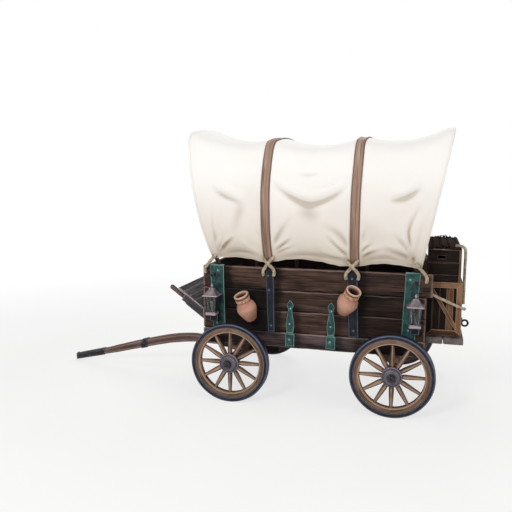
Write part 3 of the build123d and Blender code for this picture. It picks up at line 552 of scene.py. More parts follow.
def iron(name, dark, mid, worn, own=True, metallic=0.35, corner_shade=0.35, reach=0.06):
    """Painted or bare iron with blotches, chips, bright worn edges, painted highlights where the mesh marks them, and
    painted shade where surfaces meet.
    """
    m = Finish(name)
    place = m.place()
    blotches = m.noise(place, 14.0, 5.0, ("Roughness", 0.6))
    worn_and_lit_share = m.ramp(m.times(m.edge(own, 0.006), m.plus(blotches, 0.35), True), (0.30, 0.0), (0.70, 0.9))
    chips = m.ramp(m.noise(place, 90.0, 3.0), (0.66, 0.0), (0.72, 0.35))
    colour = m.mix(m.maths("MAXIMUM", worn_and_lit_share, chips), m.ramp(blotches, (0.38, dark), (0.64, mid)), worn)
    return m.done(m.corner_shaded(colour, reach, corner_shade), m.remap(blotches, 0.0, 1.0, 0.36, 0.62), (blotches, 0.35, 0.002),
                  ("Metallic", metallic), ("Specular IOR Level", 0.28))


def canvas_cloth():
    """Canvas: darker and warmer towards the hem, partly stain and partly painted shade, with painted shade in the
    folds, along its border and where surfaces meet, and a weave.
    """
    m = Finish("canvas")
    place = m.place()
    height = m.add("SeparateXYZ", (0, place), out=2)
    patches = m.noise(place, 2.6, 5.0)
    # Darker and warmer lower down: partly stain, partly painted shade where the cloth turns down, away from the
    # light.
    paleness = m.plus(m.remap(height, 1.58, 2.75), m.times(patches, 0.22))
    colour = m.ramp(paleness, (0.02, (700, 645, 572)), (0.13, (815, 768, 706)),
                    (0.30, (900, 866, 824)), (0.60, (925, 900, 875)), (1.0, (955, 945, 930)))
    # Painted shade in the folds, from the fold depth kept in tone, stronger lower down.
    depth = m.remap(m.attribute("tone"), -0.9, 0.1, 1.0, 0.0)
    fold_shade = m.times(m.maths("POWER", depth, 1.6), m.remap(height, 1.7, 2.6, 1.0, 0.35))
    colour = m.mix(fold_shade, colour, m.mix(1.0, colour, (720, 670, 600), "MULTIPLY"))
    # Painted shade along the cloth's border and hems.
    colour = m.mix(m.times(m.attribute("wear"), 0.22), colour, (620, 540, 460))
    cloth = m.attribute("grain", "Vector")
    threads = [m.add("TexWave", (0, cloth), ("Scale", 95.0), ("Distortion", 0.6), out=1, bands_direction=axis)
               for axis in "XZ"]
    relief = (m.plus(m.times(m.plus(*threads), 0.12), m.noise(place, 11.0, 4.0)), 0.3, 0.006)
    return m.done(m.corner_shaded(colour, 0.05, 0.55), 0.92, relief, ("Sheen Weight", 0.15), ("Specular IOR Level", 0.2))


def mottled(name, low, high, roughness, scale, worn=None):
    """Clay, wax and rope: a soft two-tone surface, with painted shade where the wear value is below 0, as inside the
    jugs.
    """
    m = Finish(name)
    place = m.place()
    colour = m.ramp(m.noise(place, scale, 6.0), (0.36, low), (0.64, high))
    if worn:
        edge = m.attribute("wear")
        colour = m.mix(m.times(edge, 0.6, True), colour, worn)
        # Painted shade where the value is below 0.
        colour = m.mix(m.times(edge, -1.0, True), colour, (160, 100, 85))
    return m.done(m.corner_shaded(colour, 0.05, 0.5), roughness, (m.noise(place, scale * 14, 3.0), 0.4, 0.002))


def pane_glass():
    """Clear glass with upright pale and dark streaks in its tint, a painted reflection of streaks of light."""
    m = Finish("lantern_pane")
    upright = m.add("Mapping", (0, m.place()), ("Scale", (1.0, 1.0, 0.12)))
    tint = m.ramp(m.noise(upright, 34.0, 2.0), (0.40, (340, 400, 390)), (0.52, (660, 710, 690)),
                  (0.62, (930, 950, 930)))
    return m.done(tint, 0.08, None, ("IOR", 1.45), ("Transmission Weight", 1.0))


DARK_WOOD = wood("dark_timber", (115, 82, 68), (280, 210, 180), (400, 305, 265), (580, 485, 455),
                 corner_shade=0.16, reach=0.12)
WOOD_CAD = wood("dark_timber_lengthwise", (80, 60, 57), (135, 105, 100), (190, 145, 138), (330, 260, 245), own=False)
SILL_WOOD = wood("sill_timber", (130, 100, 100), (310, 260, 260), (430, 370, 370), (600, 520, 510),
                 corner_shade=0.16, reach=0.12, wear_level=0.63)
GREY_WOOD = wood("grey_timber", (100, 85, 85), (205, 178, 178), (285, 250, 248),
                 (470, 430, 420), corner_shade=0.25, reach=0.12)
# Its near-white worn colour is wear and also a painted highlight along the footboard's edges.
FOOT_WOOD = wood("footboard_timber", (190, 170, 180), (335, 305, 320), (450, 410, 430),
                 (780, 750, 760), corner_shade=0.25, reach=0.12)
CRATE_WOOD = wood("crate_timber", (290, 200, 150), (450, 335, 255), (570, 440, 340), (680, 550, 440), reach=0.05)
BLACK_WOOD = wood("weathered_timber", (45, 30, 24), (105, 74, 60), (180, 130, 108), (380, 300, 260))
CHARRED_WOOD = wood("blackened_timber", (30, 19, 15), (75, 50, 40), (130, 88, 72),
                    (260, 185, 160), shine=0.02, roughness=0.95)
WHEEL_WOOD = wood("wheel_timber", (260, 200, 165), (430, 338, 280), (540, 437, 370), (700, 595, 520), corner_shade=0.25)
# The bows are pale timber; their dark finish is painted shade for their place under the cloth.
BOW_WOOD_SHADED = wood("bow_timber_in_shade", (70, 50, 42), (140, 105, 88), (210, 160, 135), (340, 270, 230))
POLE_WOOD = wood("pole_timber", (230, 180, 165), (380, 305, 285), (490, 400, 375), (580, 490, 460))
BAND_LEATHER = wood("band_leather", (460, 365, 315), (600, 495, 435), (700, 590, 525), (440, 350, 305),
                    wear_level=0.85, corner_shade=0.6, reach=0.02, streak=40.0)
GREEN = iron("green_iron", (90, 195, 195), (200, 340, 335), (500, 650, 600), corner_shade=0.25, reach=0.1)
BLUE = iron("blue_iron", (50, 65, 90), (100, 125, 165), (370, 430, 500), corner_shade=0.25, reach=0.1)
TYRE = iron("tyre_iron", (80, 85, 118), (150, 160, 210), (360, 380, 450), metallic=0.3, corner_shade=0.4)
HUB = iron("hub_iron", (200, 180, 205), (330, 300, 335), (520, 490, 530))
IRON = iron("dark_iron", (120, 115, 130), (220, 210, 235), (420, 410, 450))
IRON_CAD = iron("dark_iron_plain", (75, 75, 90), (140, 140, 165), (480, 480, 530), own=False)
LANTERN = iron("lantern_metal", (380, 340, 360), (560, 510, 535), (660, 600, 620))
LANTERN_DARK = iron("lantern_posts", (90, 105, 135), (170, 185, 220), (360, 370, 420), metallic=0.25)
RUST = iron("rusty_iron", (50, 25, 20), (110, 60, 46), (220, 135, 105), metallic=0.0)
CANVAS = canvas_cloth()
ROPE = mottled("rope", (560, 500, 420), (800, 730, 630), 0.9, 30.0)
JUG_ROPE = mottled("jug_cord", (640, 490, 380), (860, 710, 570), 0.9, 30.0)
CLAY = mottled("terracotta", (570, 385, 310), (720, 530, 445), 0.75, 6.0, worn=(870, 740, 660))
WAX = mottled("candle_wax", (900, 820, 760), (970, 920, 870), 0.5, 12.0)
GLASS = pane_glass()

# ---- sizes shared with the CAD
AXLE_X, WHEEL_R, WHEEL_Y = 896, 450, 962
BOX_FRONT, BOX_REAR, BOX_HALF, BOX_INNER, PLANK_T = 1270, -1220, 792, 740, 40
SILL_LOW, SILL_TOP, SILL_OUT, FLOOR_LOW = 620, 793, 800, 660
IRON_T, IRON_TOP = 10, 1535
IRON_FACE, SILL_IRON_FACE = BOX_HALF + IRON_T, SILL_OUT + IRON_T
CANVAS_BOTTOM, CANVAS_T = 1600, 8
FOOT_Y, SIDE_Y, SHOULDER_Y = 812, 992, 850
SIDE_RISE, SHOULDER_RISE, CROWN_R, SHOULDER_R = 0.425, 0.83, 3600, 300
# x at the foot, x at the ridge and height of the ridge
FRONT_ARCH, REAR_ARCH = (1140, 1462, 3085), (-1155, -1450, 3075)
BAND_ARCHES = [(487, 496, 2976), (-464, -486, 2978)]
SLACK_ARCHES = [(830, 940, 2955), (20, 12, 2900), (-800, -890, 2945)]
END_FLAT, BAND_FLAT, BOW_IN = 70, 54, 35
CRATE_REAR, CRATE_FRONT, CRATE_HALF = -1590, -1222, 600
PLATFORM_TOP, LOWER_TOP, UPPER_TOP, UPPER_REAR, LID_TOP = 832, 1418, 1771, -1565, 1785


# ---- bonnet
def circle_through(a, b, c):
    """Centre and radius of the circle through three points."""
    (ay, az), (by, bz), (cy, cz) = a, b, c
    d = 2 * (ay * (bz - cz) + by * (cz - az) + cy * (az - bz))
    uy = ((ay**2 + az**2) * (bz - cz) + (by**2 + bz**2) * (cz - az) + (cy**2 + cz**2) * (az - bz)) / d
    uz = ((ay**2 + az**2) * (cy - by) + (by**2 + bz**2) * (ay - cy) + (cy**2 + cz**2) * (by - ay)) / d
    return uy, uz, hypot(ay - uy, az - uz)


ARCH_STEPS = 88  # steps from the foot to the ridge of an arch


def half_arch(length):
    """The left half of the arch's outside as (y, rise) points, evenly spaced from foot to ridge,
    for an arch of that rise, and the outward direction at each."""
    side_y, side_s, side_r = circle_through((FOOT_Y, 0), (SIDE_Y, SIDE_RISE * length),
                                            (SHOULDER_Y, SHOULDER_RISE * length))
    crown_s = length - CROWN_R
    from_side, from_crown = side_r - SHOULDER_R, CROWN_R - SHOULDER_R
    gap = hypot(side_y, side_s - crown_s)
    along = (from_side**2 - from_crown**2 + gap**2) / (2 * gap)
    across = sqrt(from_side**2 - along**2)
    dir_y, dir_s = -side_y / gap, (crown_s - side_s) / gap
    knee = max(((side_y + along * dir_y + sign * across * dir_s,
                 side_s + along * dir_s - sign * across * dir_y) for sign in (1, -1)), key=lambda c: c[0])
    angle_knee_side = atan2(knee[1] - side_s, knee[0] - side_y)
    angle_knee_crown = atan2(knee[1] - crown_s, knee[0])
    # centre, radius, start angle, end angle
    arcs = [((side_y, side_s), side_r, -atan2(side_s, sqrt(side_r**2 - side_s**2)), angle_knee_side),
            (knee, SHOULDER_R, angle_knee_side, angle_knee_crown),
            ((0, crown_s), CROWN_R, angle_knee_crown, pi / 2)]
    lengths = [r * (b - a) for c, r, a, b in arcs]
    total, points = sum(lengths), []
    for k in range(ARCH_STEPS + 1):
        run = total * k / ARCH_STEPS
        for (centre, r, a, b), size in zip(arcs, lengths):
            if run <= size + 1e-6 or centre == arcs[-1][0]:
                angle = a + run / r
                points.append(((centre[0] + r * cos(angle), centre[1] + r * sin(angle)),
                               (cos(angle), sin(angle))))
                break
            run -= size
    return points


def arch_points(arch, proud=0.0):
    """Points of the whole arch from the left foot to the right foot, in drawing mm, and normals."""
    foot_x, ridge_x, ridge_z = arch
    rise = ridge_z - CANVAS_BOTTOM
    length = hypot(ridge_x - foot_x, rise)
    lean = Vector(((ridge_x - foot_x) / length, 0, rise / length))
    left = [(Vector((foot_x, y + proud * ny, CANVAS_BOTTOM)) + lean * (s + proud * ns),
             Vector((0, ny, 0)) + lean * ns) for (y, s), (ny, ns) in half_arch(length)]
    right = [(Vector((p.x, -p.y, p.z)), Vector((n.x, -n.y, n.z))) for p, n in reversed(left[:-1])]
    return left + right


def shifted(arch, step):
    """An arch moved along the wagon."""
    return (arch[0] + step, arch[1] + step, arch[2])


# arches from front to rear: each bow has a flat strip of cloth, and each gap has its slackest arch
STATIONS = [FRONT_ARCH, shifted(FRONT_ARCH, -END_FLAT), SLACK_ARCHES[0]]
for band, slack in zip(BAND_ARCHES, SLACK_ARCHES[1:]):
    STATIONS += [shifted(band, BAND_FLAT), shifted(band, -BAND_FLAT), slack]
STATIONS += [shifted(REAR_ARCH, END_FLAT), REAR_ARCH]
BOWS = [shifted(FRONT_ARCH, -BOW_IN), *BAND_ARCHES, shifted(REAR_ARCH, BOW_IN)]
BOW_FLATS = (28, 50, 50, 28)  # half of the cloth's flat over each bow
ARCH_SPACING = 14


def cloth_arches():
    """Arches close together along the bonnet: flat over each bow, and a smooth sag between."""
    smooth = []
    for i, (a, b) in enumerate(zip(STATIONS, STATIONS[1:])):
        count = max(2, int(round((a[0] - b[0]) / ARCH_SPACING)))
        for k in range(count):
            foot, ridge, top = (p + (q - p) * k / count for p, q in zip(a, b))
            if i % 3:  # every third span is a flat strip
                fore, slack, aft = STATIONS[i - i % 3 + 1:i - i % 3 + 4]
                u = (ridge - fore[1]) / (aft[1] - fore[1])
                v = (slack[1] - fore[1]) / (aft[1] - fore[1])
                sag = (slack[2] - (fore[2] + (aft[2] - fore[2]) * v)) / (4 * v * (1 - v))
                top = fore[2] + (aft[2] - fore[2]) * u + sag * 4 * u * (1 - u)
            smooth.append((foot, ridge, top))
    return smooth + [STATIONS[-1]]


# ties hold the cloth down at these places: x, height
TIES_DOWN = [(1112, 1650), (489, 1625), (-443, 1625), (-1098, 1650)]
# folds of the cloth, from the photograph: x and z of three points along each, how deep, how broad,
# and how much of that depth stands proud above it
FOLDS = [(1094, 2398, 945, 2322, 785, 2262, 17, 30, 0.8), (747, 2284, 792, 2131, 860, 1930, 8, 60, 0.2),
         (1053, 1738, 1012, 1810, 975, 1863, 11, 17, 0.5), (1026, 1715, 943, 1801, 859, 1866, 13, 20, 0.6),
         (1082, 1737, 1092, 1969, 1100, 2240, 8, 20, 0.6), (1060, 1784, 1052, 1944, 1000, 2125, 6, 22, 0.5),
         (546, 1872, 586, 1938, 613, 1982, 6, 15, 0.4), (788, 1841, 683, 1752, 573, 1690, -8, 26, 0.3),
         (375, 2441, 1, 2250, -366, 2423, 23, 38, 0.7), (-78, 2420, -224, 2453, -350, 2509, 9, 18, 0.7),
         (155, 2561, 36, 2553, -79, 2570, 10, 20, 0.5), (118, 2200, 0, 2148, -96, 2096, 9, 85, 0.3),
         (401, 1727, 305, 1800, 209, 1874, 13, 18, 0.6), (394, 1697, 299, 1742, 186, 1787, 8, 15, 0.5),
         (427, 1761, 329, 1945, 193, 2122, 7, 34, 0.4), (-405, 1677, -292, 1787, -163, 1919, 13, 19, 0.6),
         (-416, 1701, -345, 1789, -274, 1886, 8, 15, 0.5), (-404, 1654, -244, 1671, -95, 1716, 8, 20, 0.4),
         (-417, 1724, -296, 1941, -107, 2044, 8, 44, 0.4), (-821, 2300, -970, 2330, -1122, 2434, 20, 32, 0.8),
         (-501, 1709, -555, 1770, -632, 1842, 12, 17, 0.6), (-532, 1683, -627, 1737, -751, 1776, 10, 18, 0.6),
         (-502, 1750, -535, 1884, -587, 2014, 7, 26, 0.4), (-1067, 1728, -1016, 1984, -1110, 2231, 14, 20, 0.6),
         (-1058, 1705, -964, 1844, -866, 1958, 13, 21, 0.6), (-1048, 1682, -915, 1744, -742, 1797, 11, 28, 0.4),
         (-1108, 1707, -1168, 1988, -1244, 2273, 8, 24, 0.5), (-1067, 1728, -1088, 1902, -1142, 2151, -8, 16, 0.0),
         (1030, 1665, 777, 1700, 560, 1650, 8, 15, -0.4), (420, 1640, 44, 1690, -385, 1612, 8, 14, -0.4),
         (-515, 1630, -731, 1684, -1040, 1622, 8, 15, -0.4)]
TIE_FOLDS_BELOW = 1800  # a proud fold that starts lower than this comes from a tie
FOLD_ROUND = 1.6  # how round a fold's curve is: 2 would be a parabola


def fold(x, z, ax, az, bx, bz, cx, cz, depth, breadth, lip):
    """A groove along a curve through three points, proud above it. It dies out towards both ends, or,
    where it comes from a tie, slowly away from the tie."""
    length = hypot(cx - ax, cz - az)
    ux, uz = (cx - ax) / length, (cz - az) / length
    t = ((x - ax) * ux + (z - az) * uz) / length
    if not -0.3 < t < 1.3:
        return 0.0
    aside = (z - az) * ux - (x - ax) * uz
    m = ((bx - ax) * ux + (bz - az) * uz) / length
    bend = ((bz - az) * ux - (bx - ax) * uz) / (1 - abs(2 * m - 1) ** FOLD_ROUND)
    u = (aside - bend * (1 - abs(2 * t - 1) ** FOLD_ROUND)) / breadth * (1 if ux > 0 else -1)
    if abs(u) > 5:
        return 0.0
    fade = max(0.0, 1 - (abs(t - 0.5) / 0.62) ** 2) ** 1.3
    if az < TIE_FOLDS_BELOW and lip > 0:
        fade = max(0.0, 1 - (max(t, 0.0) / 1.12) ** 2) ** 1.3 * exp(-(min(t, 0.0) / 0.12) ** 2)
        fade *= 1.45 * (1 - 0.65 * exp(-(t / 0.16) ** 2))
    return -depth * fade * (exp(-u * u) - lip * exp(-((u - 1.9) / 1.3) ** 2))


FOLD_GAIN, RIGHT_SHIFT = 1.5, 37  # the right side's folds lie a little further forward


def cloth_lift(x, z, side):
    """How far the cloth stands in or out of its plain surface, in mm."""
    shift = 0 if side > 0 else RIGHT_SHIFT
    lift = FOLD_GAIN * sum(fold(x + shift, z, *row) for row in FOLDS)
    for tie_x, tie_z in TIES_DOWN:
        dx, dz = x - tie_x, z - tie_z
        r = hypot(dx, dz)
        lift -= 15 * exp(-(r / 60) ** 2)
        lift += 4 * exp(-r / 130) * (1 - exp(-(r / 50) ** 2)) * cos(11 * atan2(dz, dx) + tie_x)
    height = (z - CANVAS_BOTTOM) / 1400
    lift += 5 * wander(x / 420, z / 380, side * 2.0) * (1 - 0.6 * height)
    lift += 1.0 * wander(x / 160, z / 140, side * 4.0)
    return lift


def bow_hold(x, foot_to_ridge):
    """0 over a bow, where the cloth lies flat, 1 clear of it."""
    hold = 1.0
    for (foot_x, ridge_x, _), flat in zip(BOWS, BOW_FLATS):
        off = abs(x - (foot_x + (ridge_x - foot_x) * foot_to_ridge))
        hold = min(hold, max(0.0, (off - flat) / 48))
    return hold * hold * (3 - 2 * hold)


# x and height of the cloth's lower edge, from the photograph
HEM = [(1230, 1616), (1162, 1613), (1000, 1628), (876, 1635), (700, 1622), (562, 1594), (489, 1590), (413, 1606),
       (270, 1634), (132, 1642), (-89, 1623), (-220, 1600), (-307, 1585), (-443, 1584), (-542, 1593), (-660, 1618),
       (-782, 1630), (-920, 1622), (-1040, 1603), (-1098, 1592), (-1152, 1588), (-1230, 1590)]


def hem_line(x):
    """Height of the cloth's lower edge at x."""
    for (xa, za), (xb, zb) in zip(HEM, HEM[1:]):
        if xb <= x <= xa:
            t = (xa - x) / (xa - xb)
            return za + (zb - za) * t * t * (3 - 2 * t)
    return HEM[0][1] if x > 0 else HEM[-1][1]


HEM_REACH = 0.22  # share of the half arch over which the hem's curve dies out


def cloth_surface():
    """Outer points of the cover in drawing mm, from front to rear, each with its outward normal and its lift."""
    rows = []
    for arch in cloth_arches():
        points = arch_points(arch)
        row = []
        for k, (p, n) in enumerate(points):
            up = min(k, len(points) - 1 - k) / ARCH_STEPS
            near_hem = max(0.0, 1 - up / HEM_REACH)
            p.z += (hem_line(p.x) - CANVAS_BOTTOM) * near_hem * near_hem
            hold = bow_hold(p.x, (p.z - CANVAS_BOTTOM) / (arch[2] - CANVAS_BOTTOM))
            reach = 1 - (max(0.0, up - 0.70) / 0.30) ** 2
            lift = cloth_lift(p.x, p.z, 1 if k <= ARCH_STEPS else -1) * hold * reach
            row.append((p + n * lift, n, lift))
        rows.append(row)
    return rows


def build_cover(rows):
    """The cloth with its outer and inner faces, closed round its border."""
    out, outer, inner = Mesh(), [], []
    for i, row in enumerate(rows):
        end = min(i, len(rows) - 1 - i)
        outer.append([])
        inner.append([])
        for k, (p, n, lift) in enumerate(row):
            # border darkens the cloth's edges as painted shade, and the lift, kept as tone, gives painted shade in
            # the folds.
            border = max(0.0, 1 - min(k, len(row) - 1 - k) / 3, 1 - end / 2)
            grain = (p.x / 1000, 0.0, k * 0.016)
            outer[-1].append(out.point(at(*p), border, lift / 20, grain))
            inner[-1].append(out.point(at(*(p - n * (CANVAS_T - 2))), border, 0.0, grain))
    out.grid(outer)
    out.grid([list(reversed(row)) for row in inner])
    for a, b in ((inner[0], outer[0]), (outer[-1], inner[-1])):
        out.grid([a, b])
    for k, a, b in ((0, inner, outer), (-1, outer, inner)):
        out.grid([[row[k] for row in a], [row[k] for row in b]])
    return out


# place across, height and wear round the section of a band, with its two raised edges
BAND_SECTION = [(-50, 0.6, 0.2), (-50, 9, 1.0), (-46, 13.5, 1.0), (-39, 13.5, 0.7), (-33, 9, 0.0), (-12, 8, 0.0),
                (12, 8.6, 0.0), (33, 9, 0.0), (39, 13.5, 0.7), (46, 13.5, 1.0), (50, 9, 1.0), (50, 0.6, 0.2)]


def build_bands():
    out = Mesh()
    for number, arch in enumerate(BAND_ARCHES):
        lines = [(arch_points(shifted(arch, w), h), w, h, wear) for w, h, wear in BAND_SECTION]
        rings = []
        for k in range(2 * ARCH_STEPS + 1):
            sway = Vector((2.5 * wander(k / 18.0, number * 5.0), 0, 0))
            rings.append([out.point(at(*(points[k][0] + sway)), wear, number * 0.4,
                                    (k * 0.016, h / 1000, w / 1000 + number)) for points, w, h, wear in lines])
        out.skin(rings)
    return out


def build_hems(rows):
    """Rolled hems along both lower edges and round both ends of the cloth."""
    # The lower hems carry a little painted shade.
    lines = [([row[k] for row in rows], 0.0065, 0.2) for k in (0, -1)]
    lines += [(rows[k], 0.0075, 0.0) for k in (0, -1)]
    return joined(tube([at(*(p - n * 3)) for p, n, lift in line], radius, sides=8, wear=wear)
                  for line, radius, wear in lines)


cover_rows = cloth_surface()
cover = build_cover(cover_rows).object("bonnet_cloth", CANVAS, "canvas", ["canvas_cover"], smooth=60)
build_bands().object("bonnet_bands", BAND_LEATHER, "band_leather", ["cover_bands"], smooth=50)
hems = build_hems(cover_rows).object("bonnet_hems", CANVAS, "canvas", smooth=180)

# ---- ropes
ROPE_R, TIE_R, ROPE_GAP = 17, 20, 0.3
# x at the cloth, x at the box, face of the box it lies on, its distance out at the cloth, lift where it crosses
TIES = [(1120, 1215, BOX_HALF, 838, 0), (530, 446, IRON_FACE, 852, 9), (446, 530, IRON_FACE, 852, 0),
        (-395, -485, IRON_FACE, 852, 9), (-485, -392, IRON_FACE, 852, 0), (-1110, -1195, BOX_HALF, 838, 0)]
ties = Mesh()
for number, (cloth_x, box_x, face, cloth_y, lift) in enumerate(TIES):
    out_y, run = face + TIE_R + ROPE_GAP, box_x - cloth_x
    end_x = box_x + run * 0.2
    path = smooth_path([at(cloth_x - run * 0.34, cloth_y - 44, 1664), at(cloth_x - run * 0.18, cloth_y - 6, 1655),
                        at(cloth_x + run * 0.02, cloth_y + 14, 1630),
                        at(cloth_x + run * 0.4, cloth_y + 14 + lift, 1590), at(box_x, out_y + 7, 1527),
                        at(end_x + run * 0.05, out_y + 1, 1486), at(end_x, out_y, 1438)])
    ties.take(twisted(path, TIE_R / 1000, pitch=0.07, seed=number * 0.7))
both_sides(ties).object("bonnet_ties", ROPE, "rope", ["canvas_ties"], smooth=60)

lash_x, over_lid = CRATE_REAR - ROPE_R - ROPE_GAP, LID_TOP + ROPE_R + ROPE_GAP
LASH_DOWN = [(x, 480, z) for x, z in ((-1505, over_lid), (-1525, over_lid), (-1550, over_lid), (-1586, over_lid - 14),
                                      (lash_x, 1744), (lash_x, 1560), (lash_x, 1350), (lash_x, 1172))]
LASH_BACK = [(-1240, 734.7, 1318), (-1300, 716, 1289), (-1440, 674, 1221), (-1568, 636, 1160), (-1606, 616, 1141),
             (-1615, 590, 1136), (-1615, 532, 1128)]
lash = joined(twisted(smooth_path([at(*p) for p in line], 10), ROPE_R / 1000, seed=seed)
              for line, seed in ((LASH_DOWN, 0.0), (LASH_BACK, 0.4)))
lash.object("crate_lashing", ROPE, "rope", ["lashing_rope"], smooth=60)

# ---- box
# where painted shadow darkens the side, beside the irons and jugs and along its underside: x from and to, z from and
# to, how black
PAINTED_SHADOWS = [(560, 1010, 790, 1262, 0.92), (385, 560, 800, 1262, 0.85), (380, 425, 1270, 1520, 0.8),
          (965, 1030, 1010, 1505, 0.92), (-1000, -520, 620, 1262, 0.6), (-1000, -520, 1285, 1520, 0.35),
          (-560, -490, 850, 1500, 0.8), (160, 205, 640, 1080, 0.7), (-300, -260, 640, 1080, 0.7),
          (-1240, -1150, 620, 1270, 0.3), (-1000, 1270, 600, 650, 0.6)]


def paint_shadows(obj):
    """Write painted shadow on the sides, and painted shade in the load space, at each point of a mesh."""
    values = []
    for vertex in obj.data.vertices:
        x, z = (vertex.co.x - ROW_X) * 1000, vertex.co.z * 1000
        x, z = x + 22 * wander(x / 90, z / 90, 3.0), z + 22 * wander(x / 90, z / 90, 8.0)
        paleness = 1.0
        for x0, x1, z0, z1, share in PAINTED_SHADOWS:
            off = max(x0 - x, x - x1, z0 - z, z - z1, 0.0) / 45
            paleness *= 1 - share * exp(-off * off)
        inside = abs(vertex.co.y) < 0.756 and BOX_REAR + 35 < x < BOX_FRONT - 35
        # Painted shade inside the load space, painted shadow on the sides.
        values.append(0.85 if inside else 1 - paleness)
    obj.data.attributes.new("painted_shadow", "FLOAT", "POINT").data.foreach_set("value", values)


# low and high edge, rear end, nicks and tone
PLANKS = [(793, 1037, BOX_REAR, 7, -0.15), (1037.6, 1272, BOX_REAR, 9, -0.3), (1272.6, 1525, BOX_REAR - 60, 15, 0.05)]
for side, seed0 in (("left", 0.0), ("right", 20.0)):
    wall = joined(board_x(rear, BOX_FRONT, BOX_HALF - PLANK_T, BOX_HALF, low, high, cut=7, rim=10, wave=6, nick=nick,
                          seed=level * 2.3 + 1.1 + seed0, rough=1.5, step=24, tone=tone, end_worn=24, backed=True)
                  for level, (low, high, rear, nick, tone) in enumerate(PLANKS))
    sill = board_x(BOX_REAR, BOX_FRONT, BOX_INNER, SILL_OUT, SILL_LOW, SILL_TOP, cut=7, rim=10, wave=5, nick=5,
                   seed=9.4 + seed0, rough=1.5, tone=0.0, step=24, end_worn=20)
    if side == "right":
        wall, sill = wall.mirrored(), sill.mirrored()
    paint_shadows(wall.object(f"{side}_side_boards", DARK_WOOD, "dark_timber", [f"{side}_planks"]))
    paint_shadows(sill.object(f"{side}_sill_beam", SILL_WOOD, "dark_timber", [f"{side}_sill"]))

END_ROWS = [(620, 833), (834, 1048), (1049, 1262), (1263, 1515)]
for name, x0, x1 in (("front", BOX_FRONT - PLANK_T, BOX_FRONT), ("rear", BOX_REAR, BOX_REAR + PLANK_T)):
    wall = joined(board_y(x0, x1, -BOX_INNER, BOX_INNER, low, high, cut=6, wave=4, nick=4,
                          seed=level * 1.7 + x0 * 0.01) for level, (low, high) in enumerate(END_ROWS))
    paint_shadows(wall.object(f"{name}_wall_boards", DARK_WOOD, "dark_timber", [f"{name}_wall"]))

FLOOR_BOARDS = 12
lane = (BOX_FRONT - BOX_REAR - 2 * PLANK_T) / FLOOR_BOARDS
load_floor = joined(placed(board(2 * BOX_INNER, lane - 2, PLANK_T, cut=4, wave=2, seed=i * 1.3),
                           (BOX_REAR + PLANK_T + i * lane + lane - 1, -BOX_INNER, FLOOR_LOW), (0, 1, 0), (-1, 0, 0))
                    for i in range(FLOOR_BOARDS))
paint_shadows(load_floor.object("floor_planks", DARK_WOOD, "dark_timber", ["floor_boards"]))

# bows: steamed wood under the cloth, with legs inside the top planks
BOW_HALF, BOW_OUT, BOW_THICK, BOW_CUT, LEG_Y = 25, 8.4, 24, 4, 751.7
bows = Mesh()
for number, arch in enumerate(BOWS):
    foot_x, ridge_x, ridge_z = arch
    slope = (ridge_x - foot_x) / (ridge_z - CANVAS_BOTTOM)
    lines = []
    for w, depth in ((-BOW_HALF, 0), (-BOW_HALF, BOW_THICK), (BOW_HALF, BOW_THICK), (BOW_HALF, 0)):
        leg = [Vector((foot_x + w + slope * (z - CANVAS_BOTTOM), LEG_Y - depth, z)) for z in (1250, 1390, 1531)]
        lines.append(leg + [p for p, n in arch_points(shifted(arch, w), -BOW_OUT - depth)]
                     + [Vector((p.x, -p.y, p.z)) for p in reversed(leg)])
    rings = []
    for k, corners in enumerate(zip(*lines)):
        ring = []
        for c in range(4):
            for far in (corners[c - 1], corners[(c + 1) % 4]):
                eased_corner = corners[c] + (far - corners[c]).normalized() * BOW_CUT
                ring.append(bows.point(at(*eased_corner), 0.8, number * 0.3, (k * 0.015, c * 0.01, number)))
        rings.append(ring)
    bows.skin(rings)
bows.object("bonnet_bows", BOW_WOOD_SHADED, "pale_timber", ["bows"], smooth=50)

# ---- ironwork
# x of the two top and the two lower corners
CORNER_IRONS = [(1023, 1185, 1000, 1150), (-1153, -998, -1116, -971)]
STRAP_IRONS = [(437, 529, 423, 497), (-491, -381, -516, -414)]
# x and z of each bolt and its radius
LANCE_BOLTS = [(236, 1075, 15), (248, 899, 16), (246, 722, 17), (-222, 1070, 15), (-212, 896, 16), (-208, 724, 17)]
CORNER_BOLTS = [(-1046, 912, 17), (-1048, 1462, 15), (1100, 860, 15), (1090, 1470, 15)]
STRAP_BOLTS = [(494, 1436, 15), (486, 1271, 15), (461, 866, 15), (-437, 1440, 17), (-452, 1240, 15),
               (-463, 868, 15), (-437, 1360, 13)]


def wobbly(outline, size, seed):
    """The outline with more points on its long edges, each nudged inward a little."""
    out, spacing = [], 70.0
    middle = (sum(p[0] for p in outline) / len(outline), sum(p[1] for p in outline) / len(outline))
    for i, (a, b) in enumerate(pairs(outline)):
        count = max(1, int(hypot(b[0] - a[0], b[1] - a[1]) / spacing))
        for k in range(count):
            x, z = a[0] + (b[0] - a[0]) * k / count, a[1] + (b[1] - a[1]) * k / count
            if k:
                pull = size * (0.5 + 0.5 * rnd(seed, i, k))
                way = Vector((middle[0] - x, 0 if abs(b[1] - a[1]) > abs(b[0] - a[0]) else middle[1] - z))
                way.normalize()
                x, z = x + way[0] * pull, z + way[1] * pull
            out.append((x, z))
    return out


def iron_strap(top_a, top_b, low_a, low_b, seed):
    """A flat iron down the box side, hooked over its top."""
    outline = [(top_a, IRON_TOP), (top_b, IRON_TOP), (low_b, SILL_TOP + 6), (low_a, SILL_TOP + 6)]
    face = plate(wobbly(outline, 3.5, seed), BOX_HALF, IRON_FACE, along=(0, 1), tone=rnd(seed) * 0.3)
    hook = rectangle(min(top_a, top_b), max(top_a, top_b), IRON_TOP - 10, IRON_TOP)
    return moved(face.take(plate(hook, BOX_HALF - PLANK_T, BOX_HALF + 2, both=True, rim=1.5, cut=1.5)))


